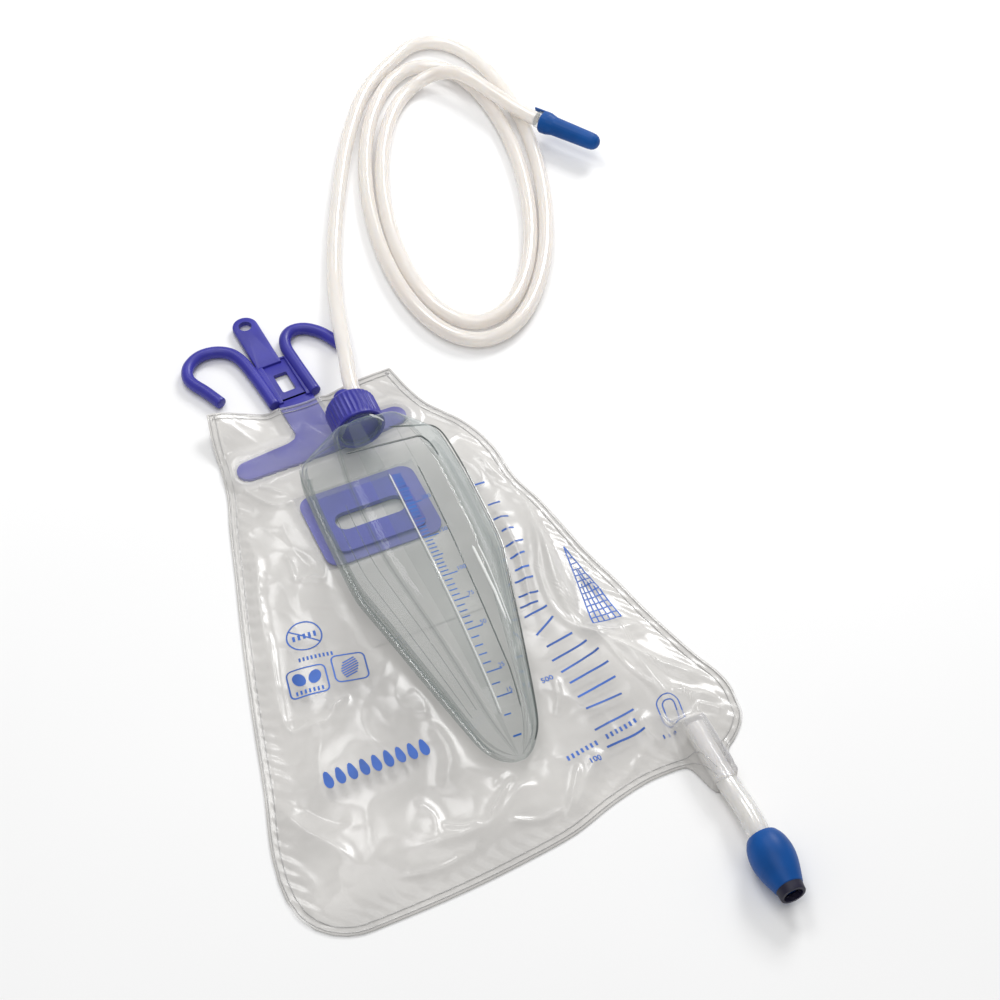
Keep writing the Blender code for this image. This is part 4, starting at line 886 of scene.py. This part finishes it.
def line_strip(ink, start, end, width):
    """A printed line, draped on the film."""
    a, b = Vector(start), Vector(end)
    side = Vector((-(b - a).y, (b - a).x)).normalized() * width / 2
    steps = max(2, round((b - a).length / 2))
    middle = [a.lerp(b, k / steps) for k in range(steps + 1)]
    points = [film_point(*q) for p in middle for q in (p + side, p - side)]
    ink.add(points, [(2 * k, 2 * k + 1, 2 * k + 3, 2 * k + 2) for k in range(steps)])


def outline_strip(ink, points, width):
    """A printed closed line."""
    for a, b in zip(points, points[1:] + points[:1]):
        line_strip(ink, a, b, width)


def bar_row(ink, first, last, count, size, turn=0):
    """A row of short upright bars."""
    for k in range(count):
        at = Vector(first).lerp(Vector(last), k / (count - 1))
        foot, head = (turned((at.x, at.y + side * size / 2), at, turn) for side in (-1, 1))
        line_strip(ink, foot, head, size * BAR_SHARE)


def filled(ink, outline):
    """A printed patch."""
    count = len(outline)
    middle = sum((Vector(p) for p in outline), Vector((0, 0))) / count
    inner = [(Vector(p) + middle) / 2 for p in outline]
    faces = []
    for i, after in enumerate([*range(1, count), 0]):
        faces += [(i, after, count + after, count + i), (count + i, count + after, 2 * count)]
    ink.add([film_point(*p) for p in (*outline, *inner, middle)], faces)


def figures(ink, words, size, offset, put):
    """Figures as flat faces. put says where a place in them goes."""
    curve = bpy.data.curves.new("figures", "FONT")
    curve.body, curve.size, curve.offset = words, size, offset
    holder = new_object("figures", curve)
    bpy.context.view_layer.update()
    mesh = bpy.data.meshes.new_from_object(holder.evaluated_get(bpy.context.evaluated_depsgraph_get()))
    bpy.data.objects.remove(holder, do_unlink=True)
    places = [put(*vertex.co.xy) for vertex in mesh.vertices]
    ink.add(places, [tuple(face.vertices) for face in mesh.polygons])
    bpy.data.meshes.remove(mesh)


def ellipse(centre, rx, ry, turn, count=20):
    places = [(rx * math.cos(TURN * k / count), ry * math.sin(TURN * k / count)) for k in range(count)]
    return [turned((centre[0] + dx, centre[1] + dy), centre, turn) for dx, dy in places]


def teardrop(centre, size):
    """Outline of a drop: a round foot with a point on top."""
    made = []
    for k in range(20):
        angle = TURN * k / 20 + TURN / 4
        reach = size * (0.62 + 0.38 * max(0.0, math.cos(angle - TURN / 4)) ** 6)
        width = 0.62 if k else 1.0
        made.append((centre[0] + reach * width * math.cos(angle), centre[1] + reach * math.sin(angle)))
    return made


def in_sign(box, dx, dy):
    """A place in a tilted box, from its middle."""
    x, y, _ = box
    return turned((x + dx, y + dy), (x, y), SIGN_TURN)


def print_signs(ink):
    """A ring with a bar across it over two tilted boxes, one with ovals and one with a hatched patch."""
    x, y = SIGN_AT
    reach = 0.7 * SIGN_R
    outline_strip(ink, ellipse(SIGN_AT, SIGN_R, SIGN_R, 0, 36), SIGN_WIDE)
    line_strip(ink, (x - reach, y + reach), (x + reach, y - reach), SIGN_WIDE)
    bar_row(ink, (x - 5, y + 0.5), (x + 5, y - 0.5), 5, 3.0, SIGN_TURN)
    bar_row(ink, (x - 7, y - 12.5), (x + 8, y - 14.5), 9, 2.2, SIGN_TURN)
    for box in BOXES:
        outline = rounded_box((0, 0), (box[2], BOX_TALL), BOX_CORNER)
        outline_strip(ink, [in_sign(box, *p) for p in outline], SIGN_WIDE)
    ovals, patch = BOXES
    for dx, lean in ((-3.8, 0.5), (3.6, -0.5)):
        filled(ink, ellipse(in_sign(ovals, dx, 1.6), 2.8, 3.9, lean + SIGN_TURN))
    bar_row(ink, in_sign(ovals, -6, -5.4), in_sign(ovals, 6, -5.4), 7, 2.2, SIGN_TURN)
    for k in range(-3, 4):
        dy, reach = 1.4 * k, 5.4 - 0.35 * abs(k) ** 1.5
        ends = [in_sign(patch, side * reach * 0.8, dy + side * reach * 0.35) for side in (-1, 1)]
        line_strip(ink, *ends, SIGN_WIDE)


def print_wedge(ink):
    apex, left, right = Vector(WEDGE_APEX), Vector(WEDGE_LEFT), Vector(WEDGE_RIGHT)
    for k in range(2, WEDGE_ROWS + 1):
        line_strip(ink, apex.lerp(left, k / WEDGE_ROWS), apex.lerp(right, k / WEDGE_ROWS), GRID_WIDE)
    for k, rest in enumerate(WEDGE_STARTS):
        foot = left.lerp(right, k / (len(WEDGE_STARTS) - 1))
        line_strip(ink, apex.lerp(foot, rest), foot, GRID_WIDE)


def add_film_print():
    ink = Solid()
    for x0, y0, x1, y1 in LEVEL_LINES:
        line_strip(ink, (x0, y0), (x1, y1), LEVEL_WIDE)
    for words, left, foot in FIGURES:
        figures(ink, words, FIGURE_SIZE, 0.018 * FIGURE_SIZE, lambda x, y: film_point(x + left, y + foot))
    for row in LEVEL_BARS:
        bar_row(ink, *row)
    print_wedge(ink)
    print_signs(ink)
    start, end = (Vector(p) for p in ROW_OF_DROPS)
    for k in range(DROPS):
        filled(ink, teardrop(start.lerp(end, k / (DROPS - 1)), DROP_SIZE))
    for size, corner in TAG_OUTLINES:
        tag = [turned(p, TAG_AT, TAG_TURN) for p in rounded_box(TAG_AT, size, corner)]
        outline_strip(ink, tag, TAG_WIDE)
    made = add_mesh("film_print", ink.points, ink.faces, INK, smooth=0)


# Chamber

WALL = 1.5
BELLY_SHARE = 0.36                 # how high its widest line lies, as a share of its depth
# Finishes after the plain wall's: painted edge shade, painted highlight and painted dark shade.
EDGE_SHADE, HIGHLIGHT, DEEP_SHADE = 1, 2, 3       # finishes after the plain wall's

# Faces of a section that lie on its edges and get the darker, more opaque finish: painted shade along the
# chamber's rounded edges
EDGE_FACES = frozenset((
    *range(3, 8), *range(10, 14), *range(17, 21), 24, 28, *range(32, 36), *range(39, 43), *range(46, 51)))
# The inside's narrow faces carry the painted edge shade.
INNER_LINES = (5, 6, 12, 13, 18, 34, 39, 40, 47, 48)      # where the wall's inside shows as a line
STRAIGHT_RING = 9                                         # first ring below the shoulder's turn
TIP_STATIONS = (-205, -207.5, -210, -212, -214, -215.5, -216.8, -217.6, -218)

# Lines on the front, in the chamber's own frame. The panel's line is a painted dark shade line.
PANEL_LINE = (
    (-17, -43.4), (-8, -44), (4, -45), (16, -46), (19.5, -46.6), (22, -48.6), (23.3, -52), (23.5, -61),
)
# The strip's edges: which side, shift, radius and finish; a painted highlight and a painted shade line on its
# left edge, a painted dark shade line on its right. The widest lines: side, radius and finish; painted edge
# shade on the left, painted dark shade on the right.
STRIP_LINES = ((0, -0.2, 0.38, HIGHLIGHT), (0, -1.1, 0.22, EDGE_SHADE), (1, 0.2, 0.30, DEEP_SHADE))
RIM_LINES = ((-1, 0.24, EDGE_SHADE), (1, 0.42, DEEP_SHADE))
RIM_STATIONS = (-19, -20, -21, -22, -23.5, -25, *range(-28, -214, -4))
FACET_LINES = (0.3, 0.62)                                 # shares of the left facet's width
GLINTS = ((17.0, 0.62), (19.6, 0.34))                     # place and radius


def bend(corner, before, after, radius, count):
    """Points of a corner's curve. It starts and ends at most about half way to the corners beside it."""
    c, a, b = Vector(corner), Vector(before), Vector(after)
    start = c + (a - c).normalized() * min(radius, (a - c).length * 0.48)
    end = c + (b - c).normalized() * min(radius, (b - c).length * 0.48)
    shares = [k / (count - 1) for k in range(count)]
    return [tuple(start * (1 - t) ** 2 + c * 2 * t * (1 - t) + end * t ** 2) for t in shares]


def profile(y, column):
    return curved_table([(row[0], row[column]) for row in CHAMBER_PROFILE], y)


def strip_span(y, inset=0.0):
    """Left and right edge of the raised strip."""
    flat = profile(y, 2) - 0.6 * inset
    right = 11.1 - 3.0 * smooth_step(-66, -200, y)
    return max(-2.8, -0.4 * flat), min(right, 0.72 * flat)


def chamber_section(y, inset):
    """A ring round the chamber at a place along it, moved in by inset."""
    half, flat, front, back = (profile(y, k) for k in (1, 2, 3, 4))
    half, flat, front, back = half - inset, flat - 0.6 * inset, front - inset, back + inset
    belly = back + BELLY_SHARE * (front - back)
    rise = STRIP_RISE * (1 - smooth_step(STRIP_TOP, STRIP_TOP + 2.0, y))
    soft = min(2.5, 0.16 * half)
    left, right = strip_span(y, inset)
    step = min(0.45, 0.1 * flat)
    corner = min(6, 0.3 * half)
    shape = [(0.0, back), (0.45 * half, back)]
    shape += bend((half, back), (0.0, back), (half, belly), corner, 8)
    shape += bend((half, belly), (half, back), (flat, front), corner, 7)
    shape += bend((flat, front), (half, belly), (0.0, front), soft, 7)
    shape += [(right + step, front), (right, front + rise), (0.5 * (left + right), front + rise),
              (left, front + rise), (left - step, front), (0.5 * (left - step - flat), front)]
    shape += bend((-flat, front), (0.0, front), (-half, belly), soft, 7)
    shape += bend((-half, belly), (-flat, front), (-half, back), corner, 7)
    shape += bend((-half, back), (-half, belly), (0.0, back), corner, 8)
    shape.append((-0.45 * half, back))
    return [Vector((x, y, CHAMBER_Z + z)) for x, z in shape]


def neck_point(radius, bearing, y):
    """A place round the neck's middle line."""
    return Vector((radius * math.cos(bearing), y, NECK_Z + radius * math.sin(bearing)))


def chamber_rings(inset):
    """Rings of the chamber's wall, from the neck's mouth to the tip."""
    bearings = [math.atan2(p.z - NECK_Z, p.x) for p in chamber_section(-22, inset)]
    neck = [(NECK_R, y) for y in (NECK_MOUTH, -6, -12, NECK_ROOT)] + [(NECK_R + 2.2, -17.6 - inset * 0.5)]
    rings = [[neck_point(radius - inset, a, y) for a in bearings] for radius, y in neck]
    y, stations = -19.0, []
    while y > TIP_STATIONS[0]:
        stations.append(y)
        y -= 1.5 if y > -36 else (0.8 if -66 < y < -60 else 3.0)
    for y in (*stations, *TIP_STATIONS):
        shift = -inset if y > -46 else (inset * smooth_step(-190, -218, y))
        rings.append([p + Vector((0, shift, 0)) for p in chamber_section(y, inset)])
    return rings


def belly_of(y):
    """Height of the chamber's widest line over its back."""
    return profile(y, 4) + BELLY_SHARE * (profile(y, 3) - profile(y, 4))


def front_at(x, y):
    """Height of the chamber's front at a place in its own frame."""
    half, flat, front = (profile(y, k) for k in (1, 2, 3))
    share = min(1.0, max(0.0, (abs(x) - flat) / (half - flat)))
    return CHAMBER_Z + front + (belly_of(y) - front) * share


# Edge faces below the shoulder get the painted edge shade.
def edge_look(ring, face):
    return EDGE_SHADE if ring >= STRAIGHT_RING and face in EDGE_FACES else 0


def front_bead(shell, path, radius, look=EDGE_SHADE):
    """A fine raised line on the chamber's front, in the painted edge shade unless another finish is given."""
    line = spline([Vector((x, y, front_at(x, y) + 0.05)) for x, y in path], 1.5)
    bead(shell, line, radius, look=look)


def facet_x(y, share):
    """A place across the side facet, from the front face's edge to the widest line."""
    return profile(y, 2) + (profile(y, 1) - profile(y, 2)) * share


def wall_lines(shell):
    """Narrow faces of the wall's inside, in the painted edge shade finish."""
    inner = chamber_rings(WALL)
    count = len(inner[0])
    starts = [r * count + i for r in range(STRAIGHT_RING, len(inner) - 1) for i in INNER_LINES]
    faces = [(a, a + 1, a + 1 + count, a + count) for a in starts]
    shell.add([p for ring in inner for p in ring], faces, EDGE_SHADE)


def neck_turns(shell):
    """Two short stretches of the neck's screw thread, and three painted highlight arcs below them."""
    shares = [k / 32 for k in range(33)]
    for start in (0.0, 0.5):
        path = [neck_point(NECK_R, TURN * (start + 0.45 * t), -15.4 + 2.4 * t) for t in shares]
        bead(shell, path, 0.6, 0.25, 6)
    bearings = [TURN * (0.07 + 0.11 * k / 12) for k in range(13)]
    for k in range(3):
        path = [neck_point(NECK_R + 0.5 + 0.6 * k, a, -15.3 - 1.25 * k) for a in bearings]
        bead(shell, path, 0.36, 0.1, look=HIGHLIGHT)


def front_lines(shell):
    """The panel's line, the strip's edges, the widest lines, the left facet's lines and two glints, all
    painted highlight or painted shade lines.
    """
    front_bead(shell, PANEL_LINE, 0.46, DEEP_SHADE)
    stations = [STRIP_TOP - 2 - 6 * k for k in range(24)]
    for side, shift, radius, look in STRIP_LINES:
        front_bead(shell, [(strip_span(y)[side] + shift, y) for y in stations], radius, look)
    for side, radius, look in RIM_LINES:
        rim = [Vector((side * 13.5, -18.0, NECK_Z))]
        rim += [Vector((side * (profile(y, 1) - 0.1), y, CHAMBER_Z + belly_of(y))) for y in RIM_STATIONS]
        bead(shell, spline(rim, 2.0), radius, 0.1, look=look)
    for share in FACET_LINES:
        front_bead(shell, [(-facet_x(y, share), y) for y in range(-70, -200, -6)], 0.2)
    for x, radius in GLINTS:
        front_bead(shell, [(x, y) for y in range(-120, -164, -4)], radius, HIGHLIGHT)


def add_chamber():
    shell = Solid()
    shell.loft(chamber_rings(0.0), look=edge_look)
    wall_lines(shell)
    neck_turns(shell)
    front_lines(shell)
    shell.place(CHAMBER_AT, CHAMBER_LEAN)
    made = shell.piece("chamber_shell", RIGID, RIGID_EDGE_SHADE, RIGID_HIGHLIGHT, RIGID_DEEP_SHADE, smooth=38)
    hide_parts("measuring_chamber")
    add_scale()


# Long ticks from the tip up: place, figure, and how many steps lead to the next one
LONG_TICKS = (
    (-213, "5", 2), (-196.5, "15", 2), (-184.5, "25", 5), (-162, "50", 5), (-146, "75", 5),
    (-131.5, "100", 10), (-108, "150", 10), (-86.5, "200", 10), (-68, "", 1),
)
SCALE_LIFT, SCALE_FIGURE = 0.08, 3.0
FINE_TICKS, FINE_LOW, FINE_STEP = 25, -95, 1.15           # a second, closer row over the upper end


def on_strip(x, y):
    """A printed place on the chamber's raised strip."""
    return x, y, CHAMBER_Z + profile(y, 3) + STRIP_RISE + SCALE_LIFT


def tick(ink, y, reach, tall):
    start = strip_span(y)[0] + 0.5
    points = [on_strip(x, place) for place in (y - tall / 2, y + tall / 2) for x in (start, start + reach)]
    ink.add(points, [(0, 1, 3, 2)])


def add_scale():
    """Blue ticks and figures on the raised strip, closer together towards the top."""
    ink = Solid()
    for (low, words, steps), (high, _, _) in zip(LONG_TICKS, LONG_TICKS[1:]):
        for k in range(steps):
            y = low + (high - low) * k / steps
            left, right = strip_span(y)
            room = right - left - 0.6
            reach = min(room * 0.8, 7.4) if k == 0 else min(room * 0.4, 5.0 if k * 2 == steps else 3.8)
            tick(ink, y, reach, 0.6)
            if k == 0 and room > 5:
                x = min(left + reach + 0.9, right - 4.4)
                figures(ink, words, SCALE_FIGURE, 0, lambda dx, dy: on_strip(x + dx, y + 0.5 + dy))
    for k in range(FINE_TICKS):
        tick(ink, FINE_LOW + FINE_STEP * k, 4.0, 0.55)
    ink.place(CHAMBER_AT, CHAMBER_LEAN)
    made = add_mesh("chamber_scale", ink.points, ink.faces, SCALE_INK, smooth=0)


# Cap

def round_rings(rows, centre, sides):
    """Rings about a line along Y. rows are (radius, y)."""
    return [
        [Vector((centre[0] + r * math.cos(TURN * k / sides), y, centre[1] + r * math.sin(TURN * k / sides)))
         for k in range(sides)]
        for r, y in rows
    ]


def add_cap():
    foot, head = CAP_RIM + 2.1, CAP_TOP - 2.2
    # How far inside the cap's radius, place, and share of the ribs' height
    rows = [(1.9, CAP_RIM + 3, 0), (1.9, CAP_RIM + 0.3, 0), (1.5, CAP_RIM, 0), (0.5, CAP_RIM, 0),
            (0.25, CAP_RIM + 0.3, 0), (0.25, CAP_RIM + 1.7, 0)]
    rows += [(0.55, foot + (head - foot) * k / 4, 1) for k in range(5)]
    rows += [(0.7, CAP_TOP - 1.3, 0.4), (1.2, CAP_TOP - 0.5, 0), (2.0, CAP_TOP - 0.1, 0), (3.0, CAP_TOP, 0)]
    bearings = [TURN * k / (CAP_RIBS * 8) for k in range(CAP_RIBS * 8)]
    ribs = [(a, (CAP_RIB + 0.2) * (0.5 + 0.5 * math.cos(a * CAP_RIBS)) ** 1.5) for a in bearings]
    cap = Solid()
    cap.loft([
        [neck_point(CAP_R - inside + share * rib, a, y) for a, rib in ribs] for inside, y, share in rows])
    top, rim = CAP_TOP + DOME_TALL, CAP_TOP + SOCKET_TALL
    dome = [(DOME_R + 0.5, CAP_TOP - 0.4), (DOME_R, CAP_TOP + 0.3), (DOME_R, top - 1.9),
            (DOME_R - 0.25, top - 1.1), (DOME_R - 0.8, top - 0.5), (DOME_R - 1.6, top - 0.12),
            (DOME_R - 2.6, top), (0.9, top), (0.8, top - 0.5)]
    socket = [(SOCKET_R + 0.4, CAP_TOP - 0.4), (SOCKET_R, CAP_TOP + 0.3), (SOCKET_R - 0.2, rim - 0.4),
              (SOCKET_R - 0.5, rim), (CORD_R + 0.15, rim), (CORD_R + 0.1, CAP_TOP - 0.3)]
    for line, (x, z) in ((dome, DOME_PLACE), (socket, SOCKET_PLACE)):
        cap.loft(round_rings(line, (x, NECK_Z + z), 48))
    cap.place(CHAMBER_AT, CHAMBER_LEAN)
    made = cap.piece("screw_cap", VIOLET, smooth=35)
    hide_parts("chamber_cap")


# Hanger

def shrink(outline, inset):
    """The outline moved in by inset. Its points run counter-clockwise."""
    made = []
    for i, (x, y) in enumerate(outline):
        along = (Vector(outline[(i + 1) % len(outline)]) - Vector(outline[i - 1])).normalized()
        made.append((x - along.y * inset, y + along.x * inset))
    return made


def soft_slab(solid, outline, low, high, ease, hole=None):
    """A flat plate with eased edges. hole is an outline cut through it, with as many points."""
    steps = [(ease, low), (ease * 0.3, low + ease * 0.3), (0, low + ease), (0, high - ease),
             (ease * 0.3, high - ease * 0.3), (ease, high)]
    rings = [[Vector((*p, z)) for p in shrink(outline, inset)] for inset, z in steps]
    if hole is not None:
        rings += [[Vector((*p, z)) for p in hole] for z in (high, low)]
    solid.loft(rings, loop=hole is not None)


def match_hole(outline, centre, reach):
    """Points on a hole's edge at the same bearings as the outline's. reach gives its radius at a bearing."""
    bearings = [math.atan2(y - centre[1], x - centre[0]) for x, y in outline]
    return [(centre[0] + reach(a) * math.cos(a), centre[1] + reach(a) * math.sin(a)) for a in bearings]


def fine_outline(points, step):
    """A closed outline with points no further apart than step."""
    made = []
    for a, b in zip(points, points[1:] + points[:1]):
        count = max(1, math.ceil(math.dist(a, b) / step))
        made += [(a[0] + (b[0] - a[0]) * k / count, a[1] + (b[1] - a[1]) * k / count) for k in range(count)]
    return made


def fine_box(left, right, low, high, step):
    return fine_outline([(left, low), (right, low), (right, high), (left, high)], step)


def window_reach(bearing):
    """How far the plate's window reaches from its middle."""
    c, s = abs(math.cos(bearing)), abs(math.sin(bearing))
    return min(WINDOW[0] / 2 / c if c > 1e-6 else 1e9, WINDOW[1] / 2 / s if s > 1e-6 else 1e9)


def add_hanger():
    hanger = Solid()
    end_r, rise, stem = BAR_END / 2, BAR_MIDDLE / 2, STEM_WIDTH / 2
    half, top = BAR_LENGTH / 2 - end_r, HANGER_Z + PLATE_THICK
    left, right = arc((-half, 0), end_r, 90, 270, 14), arc((half, 0), end_r, -90, 90, 14)
    side = [(stem + 6, rise - 0.1), (stem + 2, rise + 1.2), (stem, rise + 4), (stem, 36)]
    bar = left + [(-stem, -rise), (stem, -rise)] + right + side + [(-x, y) for x, y in reversed(side)]
    soft_slab(hanger, fine_outline(bar, 3), HANGER_Z, top, 0.5)
    plate = fine_box(-stem, stem, 34, PLATE_TOP, 2)
    soft_slab(hanger, plate, HANGER_Z, top, 0.3, match_hole(plate, (0, WINDOW_Y), window_reach))

    tip, low = (TONGUE_X, TONGUE_TOP - TONGUE_HALF), HANGER_Z + 0.5
    foot = [(TONGUE_X + side * TONGUE_HALF, PLATE_TOP - 3) for side in (-1, 1)]
    tongue = fine_outline(foot + arc(tip, TONGUE_HALF, 0, 180, 24), 2)
    hole = match_hole(tongue, tip, lambda bearing: TONGUE_HOLE_R)
    soft_slab(hanger, tongue, low, low + TONGUE_THICK, 0.7, hole)
    low, high = HANGER_Z + 1, HANGER_Z + LEDGE_TALL
    for side in (-1, 1):
        ledge = fine_box(*sorted(side * x for x in LEDGE_X), RAIL_FOOT, PLATE_TOP - 0.6, 4)
        soft_slab(hanger, ledge, low, high, 0.4)
    soft_slab(hanger, fine_box(-6.6, 6.6, PLATE_TOP - 1.0, PLATE_TOP + 0.2, 3), low, high - 0.3, 0.35)

    for route in (LEFT_HOOK, RIGHT_HOOK):
        path = spline([Vector((x, y, ROD_Z)) for x, y in route], 1.6)
        back, on = (path[0] - path[1]).normalized(), (path[-1] - path[-2]).normalized()
        path = [path[0] + back * 0.7, path[0] + back * 0.5, *path, path[-1] + on * 0.5, path[-1] + on * 0.7]
        ends = [ROD_R - 0.7, ROD_R - 0.25]
        hanger.loft(tube_rings(path, ends + [ROD_R] * (len(path) - 4) + ends[::-1], 28))
    hanger.place(HANGER_AT, HANGER_LEAN)
    made = hanger.piece("hook_hanger", VIOLET, smooth=35)
    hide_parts("hanger")


# Drain tube

def add_drain_tube():
    down = Vector((math.sin(VALVE_LEAN), -math.cos(VALVE_LEAN), 0))
    at, low = Vector(VALVE_AT), FILM + GAP + DRAIN_R + 0.2
    route = [(NECK_X + 0.4, DRAIN_START, low), (NECK_X, DRAIN_START - 15, low),
             (NECK_X - 0.2, NECK_END - 1, low + 0.5), (at.x + 0.9, at.y + 16, at.z - 0.9),
             at - down * 5, at + down * 6]
    path = spline(route, 2)
    outer, inner = (tube_rings(path, [radius] * len(path), 32) for radius in (DRAIN_R, DRAIN_BORE))
    last = len(outer)
    wall = Solid()
    wall.loft(outer + inner[::-1], loop=True, look=lambda ring, face: 1 if last <= ring < 2 * last - 1 else 0)
    made = wall.piece("drain_line", TUBE, BORE)
    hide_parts("outlet_tube")


# Valve bulb: distance from its upper mouth and radius, outside, round the nozzle's end and inside
BULB = ((0.0, 6.9), (0.15, 7.2), (0.5, 7.45), (3.5, 8.9), (7.5, 9.8), (11, 10.0), (14.5, 9.7), (19, 8.7),
        (24, 7.2), (26.2, 6.5))
BULB_END = ((26.5, 6.15), (27.2, 6.1), (28.5, 5.95), (30.0, 5.9), (30.4, 5.75), (30.5, 5.4))
BULB_INSIDE = ((30.5, 4.5), (27.6, 4.5), (26.6, 5.35), (12, 5.5), (0.0, 5.6))


def add_valve_bulb():
    """The bulb's walls. The nozzle's end and mouth at its lower end have the near-black finish, painted shade
    of its opening.
    """
    radius_at, line = [(-s, r) for s, r in BULB], []
    for (s0, _), (s1, _) in zip(BULB, BULB[1:]):
        steps = 3 if s1 - s0 > 2 else 1
        places = [s0 + (s1 - s0) * k / steps for k in range(steps)]
        line += [(curved_table(radius_at, -s), s) for s in places]
    tip = len(line) + 1
    line += [(r, s) for s, r in (BULB[-1], *BULB_END, *BULB_INSIDE)]
    last, rings = len(line) - 3, round_rings(line, (0, 0), 56)
    walls = Solid()
    walls.loft(rings, loop=True, look=lambda ring, face: 1 if tip <= ring < last else 0)
    walls.place(VALVE_AT, math.pi + VALVE_LEAN)
    made = walls.piece("valve_bulb_shell", VALVE_BLUE, NAVY_SEAL_AND_SHADE, body="valve_bulb", smooth=30)
    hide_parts("valve_sleeve")


def dress_nodes():
    """Better materials on the CAD nodes that stay."""
    looks = {
        "port_flange": PORT_BLUE, "cap_seal": WHITE_SEAL, "vent_filter": WHITE_SEAL,
        "patient_connector": RIGID, "connector_cap": VALVE_BLUE, "valve_spigot": WHITE_PART,
        "valve_seal_upper": NAVY_SEAL_AND_SHADE, "valve_seal_lower": NAVY_SEAL_AND_SHADE,
    }
    for name, look in looks.items():
        for slot in bpy.data.objects[name].material_slots:
            slot.material = look


# Floor and light, in metres

FLOOR_HALF, FLOOR_Z = 4, -0.0002
LIGHTS = (                         # name, place, size and power
    ("key_light", (0.95, 0.75, 0.95), 0.5, 11),
    ("back_light", (0.02, 0.68, 1.15), 0.42, 3.6),
    ("top_light", (-0.2, -0.3, 1.7), 1.2, 9),
)
LIT_PLACE, WORLD_LIGHT = (0.03, 0, 0), 0.45


def add_stage():
    floor_look, tree, shader = principled("floor_look", (0.90,) * 3, 0.85)
    drift(tree, shader, 3, 2, (0.885,) * 3, (0.905,) * 3)
    mesh = bpy.data.meshes.new("floor")
    corners = [(x * FLOOR_HALF, y * FLOOR_HALF, FLOOR_Z) for x, y in ((-1, -1), (1, -1), (1, 1), (-1, 1))]
    mesh.from_pydata(corners, [], [(0, 1, 2, 3)])
    mesh.materials.append(floor_look)
    floor = new_object("floor", mesh)
    for name, at, size, power in LIGHTS:
        data = bpy.data.lights.new(name, "AREA")
        data.shape, data.size, data.energy = "SQUARE", size, power
        lamp = new_object(name, data)
        lamp.location = at
        lamp.rotation_euler = (Vector(LIT_PLACE) - Vector(at)).to_track_quat("-Z", "Y").to_euler()
    world = bpy.data.worlds.new("studio")
    world.use_nodes = True
    background = world.node_tree.nodes["Background"].inputs
    background["Color"].default_value, background["Strength"].default_value = (1, 1, 1, 1), WORLD_LIGHT
    bpy.context.scene.world = world
    bpy.context.scene.view_settings.view_transform = "Standard"


add_camera()
add_tube()
add_front_film()
add_back_film()
add_reflux_valve()
add_weld_lines()
add_film_print()
add_chamber()
add_cap()
add_hanger()
add_drain_tube()
add_valve_bulb()
dress_nodes()
add_stage()
